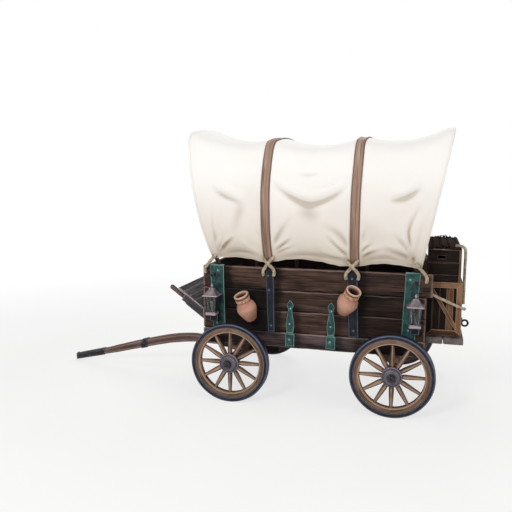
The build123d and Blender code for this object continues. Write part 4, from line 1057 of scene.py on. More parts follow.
def bolts(rows):
    """Bolts on the irons of the planks, or of the sill where they are low enough."""
    return joined(moved(dome(radius, radius * 0.62, washer=radius * 1.45), x,
                        (SILL_IRON_FACE if z < SILL_TOP else IRON_FACE) - 0.5, z) for x, z, radius in rows)


for name, rows, bolt_rows, finish, slot, node in (
        ("corner_plates", CORNER_IRONS, CORNER_BOLTS, GREEN, "green_iron", "corner_irons"),
        ("side_straps", STRAP_IRONS, STRAP_BOLTS, BLUE, "blue_iron", "strap_irons")):
    irons = joined(iron_strap(*row, number + len(name)) for number, row in enumerate(rows))
    both_sides(irons.take(bolts(bolt_rows))).object(name, finish, slot, [node], smooth=30)

# half width and height up one side of a lance head
LANCE = [(6, 1165), (24, 1140), (36, 1118), (36, 1100), (20, 1070), (24, 1030), (42, 930), (46, 870),
         (38, 815), (38, 801)]
LANCE_X, FOOT_W, LAP_W, LAP = (244, -216), 52, 38, (785, 803)
lances = Mesh()
for x in LANCE_X:
    head = [(x + w, z) for w, z in LANCE] + [(x - w, z) for w, z in reversed(LANCE)]
    lances.take(plate(head, BOX_HALF, IRON_FACE, rim=5, along=(0, 1)))
    foot = wobbly(rectangle(x - FOOT_W, x + FOOT_W, 645, 787), 3, x)
    lances.take(plate(foot, SILL_OUT, SILL_IRON_FACE, rim=6, along=(0, 1)))
    lances.take(plate(rectangle(x - LAP_W, x + LAP_W, *LAP), BOX_HALF, SILL_IRON_FACE, both=True, rim=2, cut=2))
moved(lances).take(bolts(LANCE_BOLTS))
both_sides(lances).object("lance_plates", GREEN, "green_iron", ["lance_irons"], smooth=30)

# ---- wheels
TYRE_PROFILE = [(405.2, -50), (442, -50), (450, -42), (450, 42), (442, 50), (405.2, 50)]
FELLOE_PROFILE = [(344, -32), (352, -40), (404.5, -40), (404.5, 40), (352, 40), (344, 32)]
NAVE_PROFILE = [(62.3, -38), (100, -38), (100, 38), (62.3, 38)]
HUB_PROFILE = [(30.5, -58), (92, -58), (100, -50), (100, -38.3), (62, -38.3), (62, 38.3), (112, 38.3), (112, 50),
               (104, 58), (84, 58), (84, 72), (76, 80), (64, 80), (60, 96), (44, 96), (44, 86), (30.5, 86)]
SPOKES, HUB_BOLTS, HUB_BOLT_AT = 12, 8, (0, 0.0575, 0.094)
# radius, width round the wheel, thickness along the axle
SPOKE = [(92, 42, 50), (112, 49, 50), (145, 57, 49), (195, 53, 45), (265, 45, 40), (335, 37, 36), (350, 36, 36)]
# share of the half width, share of the half thickness, wear, which along the crest of each face is a painted
# highlight
SPOKE_SECTION = [(-1, 0, 0.2), (-0.82, 0.62, 0.0), (-0.22, 1, 0.75), (0.22, 1, 0.75), (0.82, 0.62, 0.0),
                 (1, 0, 0.2), (0.82, -0.62, 0.0), (0.22, -1, 0.6), (-0.22, -1, 0.6), (-0.82, -0.62, 0.0)]


def wheel_wood():
    out = lathe(eased(FELLOE_PROFILE, cut=4, rim=8), 72, wobble=1.2, seed=0.4, bents=6)
    out.take(lathe(eased(NAVE_PROFILE), 40, seed=0.2))
    for i in range(SPOKES):
        spoke = Mesh()
        spoke.skin([[spoke.point((sx * width / 2000, sy * thick / 2000, r / 1000), wear, rnd(i, 7) * 0.5,
                                 (r / 1000, sy * thick / 2000, sx * width / 2000 + i))
                     for sx, sy, wear in SPOKE_SECTION] for r, width, thick in SPOKE])
        out.take(spoke.transformed(Matrix.Rotation(2 * pi * i / SPOKES, 4, "Y")))
    return out


def wheel_hub():
    out = lathe(eased(HUB_PROFILE, cut=1.8, rim=3.2), 48, seed=0.1)
    for k in range(HUB_BOLTS):
        turn = Matrix.Rotation(2 * pi * (k + 0.5) / HUB_BOLTS, 4, "Y") @ Matrix.Translation(HUB_BOLT_AT)
        out.take(dome(7, 6, sides=8).transformed(turn))
    return out


for end, axle_x in (("front", AXLE_X), ("rear", -AXLE_X)):
    for corner, hand in ((f"{end}_left", 1), (f"{end}_right", -1)):
        tyre = lathe(eased(TYRE_PROFILE, cut=3, rim=7), 84, wobble=2.2, seed=axle_x * 0.001 + hand)
        for mesh, piece, finish, slot, node, smooth in (
                (tyre, "tyre_hoop", TYRE, "tyre_iron", "tyre", 32),
                (wheel_wood(), "wheel_wood", WHEEL_WOOD, "wheel_timber", "spoked_wheel", 50),
                (wheel_hub(), "wheel_hub", HUB, "hub_iron", "hub", 32)):
            mesh = moved(mesh if hand > 0 else mesh.mirrored(), axle_x, hand * WHEEL_Y, WHEEL_R)
            mesh.object(f"{corner}_{piece}", finish, slot, [f"{corner}_{node}"], smooth, f"{corner}_wheel")

# ---- drawing pole
# x, top, bottom, width
POLE = [(1160, 446, 364, 84), (1405, 457, 374, 84), (1680, 486, 382, 88), (2035, 445, 336, 88),
        (2500, 330, 226, 84), (2760, 256, 160, 80), (2970, 194, 112, 74), (3390, 86, 17, 60)]


def pole_at(x):
    """Top, bottom and width of the pole, on smooth lines through its table."""
    rows = [POLE[0]] + POLE + [POLE[-1]]
    for a, b, c, d in zip(rows, rows[1:], rows[2:], rows[3:]):
        if b[0] <= x <= c[0]:
            span = c[0] - b[0]
            t = (x - b[0]) / span
            h = (2 * t**3 - 3 * t**2 + 1, t**3 - 2 * t**2 + t, -2 * t**3 + 3 * t**2, t**3 - t**2)
            return [h[0] * b[k] + h[1] * span * ((c[k] - a[k]) / max(1, c[0] - a[0])) + h[2] * c[k]
                    + h[3] * span * ((d[k] - b[k]) / max(1, d[0] - b[0])) for k in (1, 2, 3)]
    return list(POLE[-1][1:])


def pole_ring(mesh, x, grow=0.0, wear=1.0, size=1.0):
    """A ring of points round the pole at x, proud of it by grow, with eased corners."""
    (high, low, width), cut = pole_at(x), 14
    mid, half, tall = (high + low) / 2, (width / 2 + grow) * size, ((high - low) / 2 + grow) * size
    loop = []
    for sy, sz in ((1, -1), (1, 1), (-1, 1), (-1, -1)):
        corner = [(sy * half, sz * (tall - cut)), (sy * (half - cut), sz * tall)]
        loop += corner if sy * sz > 0 else reversed(corner)
    ring = []
    for i, (y, z) in enumerate(loop):
        nudge = 1.6 * wander(x / 130, i * 0.7, 0.0)
        ring.append(mesh.point(at(x, y * (1 - abs(nudge) / 60), mid + z - nudge), wear, 0.1,
                               mm(x, y, z)))
        y_next, z_next = loop[(i + 1) % len(loop)]
        ring.append(mesh.point(at(x, (y + y_next) / 2, mid + (z + z_next) / 2), 0.0, 0.1,
                               (x / 1000, (y + y_next) / 2000, (z + z_next) / 2000)))
    return ring


pole, cap, band = Mesh(), Mesh(), Mesh()
POLE_STEPS, POLE_START, POLE_END = 70, POLE[0][0], POLE[-1][0]
pole.skin([pole_ring(pole, POLE_START + (POLE_END - POLE_START) * k / POLE_STEPS, size=0.995)
           for k in range(POLE_STEPS + 1)])
pole.object("drawing_pole", POLE_WOOD, "tongue_timber", ["tongue_pole"], 40, "tongue")
cap_rings = [pole_ring(cap, x, grow, 1.0 if x < 3000 else 0.6) for x, grow in (
    (2990, 3), (2993, 6.5), (3004, 7), (3100, 7), (3250, 7), (3380, 7))]
CAP_END = [(1, -0.7), (1, 0.0), (1, 0.7), (0.85, 0.85), (0.7, 1), (0, 1), (-0.7, 1), (-0.85, 0.85), (-1, 0.7),
           (-1, 0), (-1, -0.7), (-0.85, -0.85), (-0.7, -1), (0, -1), (0.7, -1), (0.85, -0.85)]
cap_rings += [[cap.point(at(x, y * half, (low + high) / 2 + z * (high - low) / 2), 0.9) for y, z in CAP_END]
              for x, half, low, high in ((3412, 38, 2, 98), (3420, 33, 6, 90))]
cap.skin(cap_rings)
cap.object("pole_tip_iron", IRON, "dark_iron", ["tongue_cap"], 35, "tongue")
BAND_X = 2390
band.skin([pole_ring(band, BAND_X + x, grow, wear) for x, grow, wear in (
    (-45, 1, 0.2), (-44, 6, 1.0), (-40, 8, 1.0), (0, 8, 0.0), (40, 8, 1.0), (44, 6, 1.0), (45, 1, 0.2))])
band.take(moved(dome(9, 6), BAND_X, 48, sum(pole_at(BAND_X)[:2]) / 2))
band.object("pole_band", IRON, "dark_iron", ["tongue_band"], 35, "tongue")

# ---- footboard
FOOT_UNDER, FOOT_RUN, CHEEK_T, RAIL_R = (BOX_FRONT, 890), (0.81, 0.586), 20, 30.3
CHEEK_END, CHEEK_TOP, STEP_X, STEP_RISE, RAIL_RISE, RAIL_STEPS = 345, 100, 283, 10, 43.7, 24


def on_slope(along, across):
    """x and z of a point along the footboard's slope and above it."""
    ux, uz = FOOT_RUN
    return (FOOT_UNDER[0] + along * ux - across * uz, FOOT_UNDER[1] + along * uz + across * ux)


def slope_at_box(across):
    """The point of that height over the slope where it meets the box."""
    return on_slope(across * FOOT_RUN[1] / FOOT_RUN[0], across)


cheek = moved(plate([slope_at_box(0), on_slope(STEP_X, 0), on_slope(STEP_X, STEP_RISE),
                     on_slope(CHEEK_END, STEP_RISE), on_slope(CHEEK_END, CHEEK_TOP), slope_at_box(CHEEK_TOP)],
                    BOX_HALF - CHEEK_T, BOX_HALF, cut=3, rim=5, along=FOOT_RUN, both=True, tone=-0.2))
both_sides(cheek).object("footboard_side_plates", FOOT_WOOD, "dark_timber", ["footboard_cheeks"], smooth=30)
(ax, az), (bx, bz) = on_slope(75, RAIL_RISE), on_slope(556, RAIL_RISE)
rail = tube([at(ax + (bx - ax) * k / RAIL_STEPS, BOX_HALF - CHEEK_T - RAIL_R, az + (bz - az) * k / RAIL_STEPS)
             for k in range(RAIL_STEPS + 1)],
            lambda t: 0.0292 - 0.0018 * abs(wander(t * 9, 2.0)) - (0.012 if t > 0.985 else 0.0), sides=14, wear=0.15)
both_sides(rail).object("footboard_rail_poles", POLE_WOOD, "pale_timber", ["footboard_rails"], smooth=50)
FOOT_LANES, FOOT_HALF, PANEL_START, PANEL_LONG, PANEL_T = 5, 771.7, 54, 410, 26
lane = PANEL_LONG / FOOT_LANES
panel = Mesh()
for i in range(FOOT_LANES):
    plank = board(2 * FOOT_HALF, lane - 1.5, PANEL_T, cut=4, wave=2, seed=i * 2.2 + 40)
    x, z = on_slope(i * lane + PANEL_START, CHEEK_TOP)
    panel.take(placed(plank, (x, FOOT_HALF, z), (0, -1, 0), (FOOT_RUN[0], 0, FOOT_RUN[1])))
nearest = at(BOX_FRONT + 0.5, 0, 0).x
panel.points = [Vector((max(p.x, nearest), p.y, p.z)) for p in panel.points]
panel.object("footboard_planks", FOOT_WOOD, "dark_timber", ["footboard"])

# ---- undercarriage
# node, body, x of the middle, half its width, half its length, underside and top
BEAMS = [("front_axle_beam", "front_gear", AXLE_X, 48, 872, 395, 505),
         ("rear_axle_beam", "wagon", -AXLE_X, 48, 872, 395, 505),
         ("front_bolster", "wagon", AXLE_X, 60, 700, 518, 620), ("rear_bolster", "wagon", -AXLE_X, 60, 700, 505, 620)]
for number, (node, body, x, width, length, z0, z1) in enumerate(BEAMS):
    beam = board_y(x - width, x + width, -length, length, z0, z1, cut=9, rim=9, wave=2, rough=1.5, seed=70 + number)
    beam.object(f"{node}_timber", DARK_WOOD, "dark_timber", [node], body=body)
reach = board_x(-836, 836, -40, 40, 534, 604, cut=7, rim=8, wave=2, seed=77)
reach.object("reach_timber", DARK_WOOD, "dark_timber", ["reach_pole"])
# CAD nodes that are kept as they are, with a finish
for node in ("turning_plate", "kingpin", "front_axle_arms", "rear_axle_arms", "tongue_pin", "hounds"):
    kept = bpy.data.objects[node].data.materials
    for number in range(len(kept)):
        kept[number] = WOOD_CAD if node == "hounds" else IRON_CAD

# ---- rear platform and crates
PLATFORM_HALF, PLATFORM_LOW = 700, PLATFORM_TOP - 70
platform = joined(board_y(x0, x1, -PLATFORM_HALF, PLATFORM_HALF, PLATFORM_LOW, PLATFORM_TOP, cut=7, rim=9, wave=3,
                          nick=8, rough=2.0, seed=seed, tone=tone)
                  for x0, x1, seed, tone in ((-1615, -1409, 2, 0.6), (-1402, -1220, 5.3, 0.3)))
platform.object("rear_platform_beams", GREY_WOOD, "dark_timber", ["rear_platform"])
knee = plate([(BOX_REAR, 665), (BOX_REAR, 762), (-1545, 762), (-1545, 738), (-1270, 665)], 225, 275,
             both=True, cut=4, rim=6, along=(-0.9, 0.43))
both_sides(moved(knee)).object("platform_knee_braces", DARK_WOOD, "dark_timber", ["platform_knees"], smooth=30)

# the lower crate: a frame of mitred members, each with its outline, grain direction and tone, before boards
FRAME_W, FRAME_T, WALL_T = 62, 22, 16
FRAME_IN, BOARDS_IN = CRATE_HALF - FRAME_T, CRATE_HALF - FRAME_T - WALL_T
near, far, low, high = CRATE_FRONT, CRATE_REAR, PLATFORM_TOP, LOWER_TOP
near_in, far_in, low_in, high_in = near - FRAME_W, far + FRAME_W, low + FRAME_W, high - FRAME_W
MEMBERS = [([(far, high), (near, high), (near_in, high_in), (far_in, high_in)], (1, 0), 0.9),
           ([(near, low), (far, low), (far_in, low_in), (near_in, low_in)], (1, 0), -2.2),
           ([(far, low), (far, high), (far_in, high_in), (far_in, low_in)], (0, 1), 1.2),
           ([(near, high), (near, low), (near_in, low_in), (near_in, high_in)], (0, 1), -1),
           ([(far_in, low_in), (far_in, low_in + 75), (near_in, high_in), (near_in, high_in - 75)], (0.5, 0.87), 0.2)]
DARK_STILE, BRACE = 3, 4
members = []
for number, (outline, along, tone) in enumerate(MEMBERS):
    inset = 3 if number == BRACE else 0
    members.append(moved(plate(wobbly(outline, 1.5, number + 3), FRAME_IN + inset, CRATE_HALF - inset, cut=3, rim=6,
                               along=along, both=True, tone=tone)))
dark_stile = members.pop(DARK_STILE)
both_sides(dark_stile).object("lower_crate_dark_stiles", BLACK_WOOD, "dark_timber", ["lower_crate_frame"], smooth=30)
framing = both_sides(joined(members))
bay = (2 * FRAME_IN - 4 * FRAME_W) / 3
for number in range(4):
    upright = board(high_in - low_in, FRAME_W, FRAME_T, cut=3, rim=6, wave=1, seed=number + 5.5)
    framing.take(placed(upright, (far, number * (bay + FRAME_W) - FRAME_IN, low_in), (0, 0, 1), (0, 1, 0)))
for z0, seed in ((low, 61), (high_in, 62)):
    framing.take(board_y(far, far + FRAME_T, -FRAME_IN, FRAME_IN, z0, z0 + FRAME_W, cut=3, rim=6, wave=1, seed=seed))
framing.object("lower_crate_framing", CRATE_WOOD, "pale_timber", ["lower_crate_frame"], smooth=30)

crate_walls, light_board, behind = Mesh(), Mesh(), far + FRAME_T
LANES, LIGHT_LANE, END_BOARDS, END_PITCH, END_W = 5, 1, 9, 124.8, 123
lane = (near - behind) / LANES
for i in range(LANES):
    plank = board_z(behind + i * lane, behind + i * lane + lane - 0.3, BOARDS_IN, FRAME_IN, low, high, cut=3, rim=4,
                    wave=0.3, seed=i * 1.9)
    (light_board if i == LIGHT_LANE else crate_walls).take(both_sides(plank))
for i in range(END_BOARDS):
    for x0 in (behind, near - WALL_T):
        end_board = board(high - low, END_W, WALL_T, cut=3, wave=1.5, seed=i * 2.9 + x0)
        crate_walls.take(placed(end_board, (x0, i * END_PITCH - (BOARDS_IN - 0.5), low), (0, 0, 1), (0, 1, 0)))
crate_walls.take(board_y(behind + WALL_T + 1, near - WALL_T - 1, 1 - BOARDS_IN, BOARDS_IN - 1, low, low + WALL_T,
                         cut=3, seed=88))
crate_walls.object("lower_crate_boards", BLACK_WOOD, "dark_timber", ["lower_crate_box"])
light_board.object("lower_crate_light_boards", CRATE_WOOD, "pale_timber", ["lower_crate_box"])


def holed_board(x0, x1, z0, z1, hole, y0, y1, seed):
    """An end board lying along X with a hand hole (x0, x1, z0, z1) through it."""
    out, steps, cut, rim, ragged = Mesh(), 9, 4, 5, 4

    def loop(box, grow, y, wear):
        corners = rectangle(box[0] - grow, box[1] + grow, box[2] - grow, box[3] + grow)
        ring = []
        for k, (p, q) in enumerate(pairs(corners)):
            for s in range(steps):
                x, z = p[0] + (q[0] - p[0]) * s / steps, p[1] + (q[1] - p[1]) * s / steps
                if box != hole and k in (0, 2):
                    z += (1 - k) * ragged * ripple(x / 55, seed, k * 3.0)
                ring.append(out.point(at(x, y, z), wear, 0.0, (x / 1000, y / 1000, z / 1000 + seed)))
        return ring

    box = (x0, x1, z0, z1)
    out.skin([loop(box, -cut - rim, y1, 0.0), loop(box, -cut, y1, 1.0), loop(box, 0, y1 - cut, 1.0),
              loop(box, 0, y0, 0.3), loop(hole, 0, y0, 0.3), loop(hole, 0, y1 - 3, 0.9), loop(hole, 3, y1, 0.9),
              loop(hole, 8, y1, 0.0)], closed=True)
    return out


upper = Mesh()
UPPER_IN, HAND_HOLE, TOP_ROW = CRATE_HALF - WALL_T, (-1400, -1320, 1672, 1706), 2
POST_OUT, POST_W, POST_T = UPPER_IN - 0.5, 34, 33.5
z0 = LOWER_TOP
for level, share in enumerate((0.24, 0.36, 0.40)):
    row_high = z0 + share * (UPPER_TOP - LOWER_TOP)
    z1 = row_high - (0 if level == TOP_ROW else 5)
    if level == TOP_ROW:
        upper.take(both_sides(holed_board(UPPER_REAR, near, z0, z1, HAND_HOLE, UPPER_IN, CRATE_HALF, 5.0)))
    else:
        upper.take(board_x(UPPER_REAR, near, UPPER_IN, CRATE_HALF, z0, row_high, cut=4, rim=6, wave=5, nick=9,
                           rough=2, seed=30 + level * 2.7, step=18, backed=True))
        upper.take(board_x(UPPER_REAR, near, -CRATE_HALF, -UPPER_IN, z0, row_high, cut=2, rim=6, wave=0.5,
                           seed=50 + level * 2.7))
    for x0, seed in ((UPPER_REAR, 33), (near - WALL_T, 36)):
        upper.take(board_y(x0, x0 + WALL_T, -POST_OUT, POST_OUT, z0, z1, cut=4, rim=6, wave=6, nick=9,
                           seed=seed + level))
    z0 = row_high
upper.take(both_sides(joined(board_z(x0, x0 + POST_W, POST_OUT - POST_T, POST_OUT, LOWER_TOP, UPPER_TOP, cut=3,
                                     wave=1, seed=x0) for x0 in (UPPER_REAR + WALL_T, near - WALL_T - POST_W))))
upper.object("upper_crate_boards", BLACK_WOOD, "dark_timber", ["upper_crate"])
batten = board_z(UPPER_REAR, UPPER_REAR + 26, CRATE_HALF, CRATE_HALF + 7, LOWER_TOP + 4, UPPER_TOP - 3, cut=2, rim=4,
                 wave=2, nick=3, seed=4.4, tone=-0.6)
both_sides(batten).object("upper_crate_battens", CRATE_WOOD, "dark_timber", smooth=30)

SLATS = 4
lane = (near - UPPER_REAR) / SLATS
lid = joined(board_y(UPPER_REAR + i * lane, UPPER_REAR + i * lane + lane - 0.3, 8 * abs(rnd(i, 2)) - CRATE_HALF,
                     CRATE_HALF - 9 * abs(rnd(i)), UPPER_TOP, LID_TOP, cut=2, wave=3, nick=6, rough=0.4, step=20,
                     seed=i * 3.7) for i in range(SLATS))
# broken boards that stand up from the lid along both sides: x, width, height, lean, place across
SPLINTERS = [(-1560, 30, 13, 6, 586), (-1545, 20, 22, -4, 560), (-1516, 38, 9, -3, 586), (-1492, 22, 30, 5, 575),
             (-1470, 40, 16, -5, 586), (-1448, 18, 44, 9, 566), (-1425, 30, 36, 8, 586), (-1398, 44, 12, 2, 580),
             (-1374, 20, 40, -8, 562), (-1352, 34, 26, -6, 586), (-1322, 26, 25, 5, 570), (-1300, 42, 11, 3, 586),
             (-1272, 20, 20, -4, 575), (-1250, 24, 12, -4, 586)]
SPLINTER_ROOT = LID_TOP - 5
for number, (x0, width, height, lean, out_y) in enumerate(SPLINTERS):
    outline = [(x0, 0), (x0 + width, 0), (x0 + width + lean, height * 0.7), (x0 + width * 0.6 + lean, height),
               (x0 + width * 0.3 + lean, height * 0.62), (x0 + lean, height * 0.9)]
    chip = plate(outline, out_y - 8, out_y + 6, cut=2, rim=3, both=True, tone=rnd(number, 4))
    lid.take(both_sides(moved(chip, 0, 0, SPLINTER_ROOT)))
lid.object("upper_crate_lid", CHARRED_WOOD, "dark_timber", ["crate_lid_slats"], smooth=30)


def ring_profile(ring_r, wire_r, sides=10):
    """The section of a ring of round wire, worn at its outside."""
    return [(ring_r + wire_r * c, wire_r * s, 0.3 if k in (0, 1, 9) else 0.0)
            for k, (c, s) in enumerate(circle(sides))]


RING_X, RING_Y, RING_Z = -1630, 500, 964
tie_ring = moved(lathe(ring_profile(33, 11), 36, wobble=0.6), RING_X, RING_Y, RING_Z)
staple = [(far - 14, RING_Z + 14), (far - 14, RING_Z + 54), (far - 9, RING_Z + 58), (far, RING_Z + 58),
          (far, RING_Z + 10), (far - 9, RING_Z + 10)]
tie_ring.take(moved(plate(staple, RING_Y - 22, RING_Y + 22, cut=2, rim=3, both=True)))
tie_ring.object("crate_tie_ring", RUST, "dark_iron", ["tie_ring"], smooth=40)

# ---- lanterns
LANTERN_X = (1126, -1113.5)
LANTERN_Y, EAVE_Z, BASE_Z, HOOK_Y, HOOK_BOLTS, RING_HEIGHT = 908, 1196, 1012, -106, (1450, 1408), 1.385
TO_Z = Matrix.Rotation(pi / 2, 4, "X")  # turns a form made about Y to stand about Z


def square_loft(rows, closed=False, tone=0.0):
    """Squares of (half width, height, wear, corner cut) joined up, the last to the first if closed."""
    out, rings = Mesh(), []
    for half, z, wear, cut in rows:
        corners = []
        for sx, sy in ((1, 1), (-1, 1), (-1, -1), (1, -1)):
            ends = [(sx * half, sy * (half - cut)), (sx * (half - cut), sy * half)]
            corners += ends if sx * sy > 0 else reversed(ends)
        ring = [out.point(mm(x, y, z), wear, tone) for x, y in corners]
        filled = []
        for a, b in pairs(ring):
            filled.append(a)
            if (out.points[a] - out.points[b]).length > half / 1000:
                middle = (out.points[a] + out.points[b]) / 2
                filled.append(out.point(middle, wear * 0.3 if wear < 1 else wear, tone))
        rings.append(filled)
    out.skin(rings, closed=closed)
    return out


def lantern_metal():
    roof = [(70, 0, 0.2, 5), (87, 0, 0.6, 6), (90, 3, 1.0, 6), (88, 10, 1.0, 6), (80, 15, 0.4, 5), (60, 34, 0.35, 4),
            (42, 58, 0.35, 4), (30, 78, 0.5, 4), (26, 84, 1.0, 4), (16, 85, 0.4, 3)]
    knob = [(0.5, 1276, 0.2), (14, 1276, 0.2), (11, 1292, 0.0), (14, 1306, 0.9), (14, 1314, 0.9), (10, 1326, 0.2),
            (8, 1337, 0.5), (0.5, 1338, 0.5)]
    foot = [(56, 976, 0.3, 5), (60, 977, 0.8, 5), (62, 986, 1.0, 6), (62, 999, 1.0, 6), (58, 1004, 0.5, 5),
            (52, BASE_Z, 0.7, 5), (40, BASE_Z, 0.1, 4)]
    out = square_loft([(half, EAVE_Z + z, wear, cut) for half, z, wear, cut in roof])
    return out.take(lathe(knob, 16).transformed(TO_Z)).take(square_loft(foot, tone=0.3))


def lantern_dark():
    """The four posts, the hook with its plate and bolts, the ring, and the chimney under the roof."""
    out = Mesh()
    section = ((1, 0.5), (0.5, 1), (-0.5, 1), (-1, 0.5), (-1, -0.5), (-0.5, -1), (0.5, -1), (1, -0.5))
    for sx, sy in ((1, 1), (1, -1), (-1, 1), (-1, -1)):
        out.skin([[out.point(mm(sx * middle + a * half, sy * middle + b * half, z), 0.7 if a * b > 0 else 0.3)
                   for a, b in section] for z, middle, half in
                  ((BASE_Z - 1, 46, 6), (1100, 53.7, 6.5), (EAVE_Z + 1, 62, 7))])
    back = [(-24, 1405), (-24, 1451), (-14, 1459), (14, 1459), (24, 1451), (24, 1405), (14, 1399), (-14, 1399)]
    out.take(plate(back, HOOK_Y, HOOK_Y + 8, cut=2, rim=4))
    out.take(lathe(ring_profile(48, 6, 8), 36).transformed(Matrix.Translation((0, 0, RING_HEIGHT))))
    hook = [(0, -0.106, 1.423), (0, -0.06, 1.4228), (0, 0.0, 1.423), (0, 0.012, 1.425), (0, 0.018, 1.443)]
    out.take(tube(smooth_path(hook, 5), 0.0069, sides=8))
    for z in HOOK_BOLTS:
        bolt = dome(6, 5, sides=8)
        out.take(bolt.transformed(Matrix.Translation(mm(0, HOOK_Y + 8, z))))
    return out.take(square_loft([(30, 1168, 0.2, 4), (40, 1172, 0.2, 4), (40, 1195, 0.2, 4)]))


def lantern_bracket():
    outline = [(-44, 888), (-44, 978), (44, 978), (44, 888), (38, 882), (-38, 882)]
    return plate(outline, HOOK_Y, -58, cut=4, rim=6)


def lantern_panes():
    z0, z1 = BASE_Z + 0.5, EAVE_Z - 0.5
    return square_loft([(39, z0, 0, 3), (54, z1, 0, 3), (50, z1, 0, 3), (35, z0, 0, 3)], closed=True)


def candle_wax():
    return lathe([(0.3, 1012, 0), (26, 1012, 0.8), (27, 1016, 0.9), (21, 1022, 0.5), (17, 1030, 0.1), (16.6, 1075, 0),
                  (17, 1122, 0), (15.5, 1130, 0), (10, 1127, 0), (0.3, 1124, 0)], 20, wobble=0.8).transformed(TO_Z)


def candle_wick():
    return tube([Vector((0, 0, 1.123)), Vector((0, 0, 1.134)), Vector((0.0015, 0, 1.142))], 0.0014, sides=6)


for title, maker, finish, slot, nodes in (
        ("lantern_tops_and_bases", lantern_metal, LANTERN, "lantern_metal", ["lantern_frames"]),
        ("lantern_posts_and_hooks", lantern_dark, LANTERN_DARK, "lantern_metal", ["lantern_frames"]),
        ("lantern_brackets", lantern_bracket, BLUE, "lantern_metal", ["lantern_frames"]),
        ("lantern_panes", lantern_panes, GLASS, "glass", ["lantern_glass"]),
        ("lantern_candles", candle_wax, WAX, "wax", ["candles"]),
        ("lantern_wicks", candle_wick, IRON, "dark_iron", [])):
    both_sides(joined(moved(maker(), x, LANTERN_Y, 0) for x in LANTERN_X)).object(title, finish, slot, nodes)

# ---- jugs
# radius and height up the outside and down the inside
JUG_OUT = [(0.4, 0), (50, 0), (56, 3), (62, 9), (84, 60), (103, 108), (109, 128), (112, 158), (110, 175),
           (99, 207), (84, 228), (70, 246), (65, 256), (62, 275), (63, 292), (71, 305), (82, 316), (85, 325),
           (83, 332), (77, 335), (71, 332)]
JUG_IN = [(60, 316), (54, 298), (53, 268), (58, 248), (88, 205), (103, 165), (97, 112), (60, 20), (40, 14),
          (0.4, 14)]
# x and z of the belly, its distance out, lean along the wagon, lean out from it, face behind
JUGS = [(715, 1083, 922.9, -17, 20, BOX_HALF), (-412, 1212, 930.4, 24, 26, IRON_FACE)]
CORD_R, CORD_STEPS, BELLY_H, NECK, PEG_R, PLATE_R, PLATE_T = 0.0752, 40, 0.16, (0, -0.074, 0.272), 0.0119, 26, 6
jugs, cords, pegs = Mesh(), Mesh(), Mesh()
for number, (x, z, out_y, lean, lean_out, face) in enumerate(JUGS):
    place = (Matrix.Translation(mm(x, out_y, z)) @ Matrix.Rotation(radians(-lean_out), 4, "X")
             @ Matrix.Rotation(radians(-lean), 4, "Y") @ Matrix.Translation((0, 0, -BELLY_H)))
    profile = [(r, h, 1.0 if 316 <= h <= 336 and r > 55 else 0.25 if r > 100 else 0.0) for r, h in JUG_OUT]
    # Inside the jug the value goes below 0, for painted shade in the hollow.
    profile += [(r, h, -0.35 if h > 310 else -1.0) for r, h in JUG_IN]
    jugs.take(lathe(profile, 56, wobble=0.8, seed=number * 4.0).transformed(TO_Z).transformed(place))
    for turn, (h, tilt) in enumerate(((264.5, 3), (282, -4))):
        loop = [Vector((CORD_R * cos(a), CORD_R * sin(a), h / 1000 + 0.002 * sin(a + tilt)))
                for a in (2 * pi * k / CORD_STEPS for k in range(CORD_STEPS + 1))]
        cords.take(twisted(loop, 0.0088, pitch=0.05, seed=turn).transformed(place))
    neck = place @ Vector(NECK)
    pegs.take(tube([Vector((neck.x, face / 1000, neck.z)), neck], PEG_R, sides=12, wear=0.4))
    u, v = neck.x * 1000, neck.z * 1000
    pegs.take(plate([(u + a * PLATE_R, v + b * PLATE_R) for a, b in ((-1, -1), (-1, 1), (1, 1), (1, -1))],
                    face, face + PLATE_T, cut=1.5, rim=4))
for mesh, title, finish, slot, node in ((jugs, "clay_jugs", CLAY, "terracotta", "jugs"),
                                        (cords, "jug_cords", JUG_ROPE, "rope", "jug_hangers"),
                                        (pegs, "jug_pegs", IRON, "dark_iron", "jug_hangers")):
    both_sides(moved(mesh)).object(title, finish, slot, [node], smooth=55)

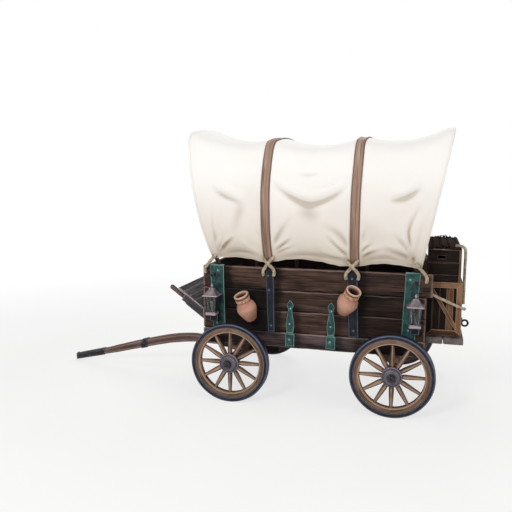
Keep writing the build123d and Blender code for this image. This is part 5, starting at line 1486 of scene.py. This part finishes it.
# ---- view, light and floor
camera = bpy.data.cameras.new("camera")
camera.lens, camera.sensor_width, camera.sensor_fit, camera.clip_end = 44.09, 36.0, "HORIZONTAL", 200
holder = new_object("camera", camera)
yaw, pitch, roll = radians(15.154), radians(7.702), radians(0.161)
ahead = Vector((sin(yaw) * cos(pitch), -cos(yaw) * cos(pitch), -sin(pitch)))
right = Vector((-cos(yaw), -sin(yaw), 0))
up = right.cross(ahead)
right, up = right * cos(roll) + up * sin(roll), up * cos(roll) - right * sin(roll)
turn = Matrix((right, up, -ahead)).transposed().to_4x4()
holder.matrix_world = Matrix.Translation((-2.053, 7.520, 2.593)) @ turn
bpy.context.scene.camera = holder

# name, place, the point it looks at, size and power
for name, place, target, size, power in (
        ("key_lamp", (1.2, 7.8, 5.0), (-0.8, 0.6, 1.3), 2.0, 312),
        ("fill_lamp", (-6.5, 5.5, 3.4), (-0.8, 0.3, 1.3), 5.0, 120),
        ("top_lamp", (-0.8, 0.8, 8.0), (-0.8, 0.2, 1.5), 4.0, 95),
        ("far_lamp", (-0.8, -7.0, 5.5), (-0.8, -0.5, 1.3), 5.0, 330)):
    lamp = bpy.data.lights.new(name, "AREA")
    lamp.shape, lamp.size, lamp.energy = "DISK", size, power
    holder = new_object(name, lamp)
    holder.location = place
    holder.rotation_euler = (Vector(target) - Vector(place)).to_track_quat("-Z", "Y").to_euler()

WHITE = (1, 1, 1, 1)
world = bpy.data.worlds.new("studio")
bpy.context.scene.world = world
sky = Tree(world)
background = sky.add("Background", (0, WHITE), (1, sky.plus(0.30, sky.times(sky.seen_by_eye(), 0.70))))
sky.links.new(background, sky.nodes.new("ShaderNodeOutputWorld").inputs[0])

# a pale floor that fades to white, to the eye, away from the wagon
FLOOR_HALF = 40
ground = bpy.data.meshes.new("studio_floor")
ground.from_pydata([(x, y, 0) for x, y in rectangle(-FLOOR_HALF, FLOOR_HALF, -FLOOR_HALF, FLOOR_HALF)], [],
                   [(0, 1, 2, 3)])
ground_obj = new_object("studio_floor", ground)
floor = Finish("studio_floor")
place = floor.place()
pale = floor.ramp(floor.noise(place, 0.7, 2.0), (0.3, (895, 890, 880)), (0.7, (930, 925, 915)))
ground.materials.append(floor.done(pale, 0.9, None))
away = floor.add("VectorMath", (0, place), out="Value", operation="LENGTH")
share = floor.times(floor.seen_by_eye(), floor.remap(away, 3.0, 8.0, 0.72, 1.0))
glow = floor.add("Emission", ("Color", WHITE), ("Strength", 1.0))
floor.links.new(floor.add("MixShader", (0, share), (1, floor.shader.outputs[0]), (2, glow)), floor.end.inputs[0])

bpy.context.scene.view_settings.view_transform = "Standard"
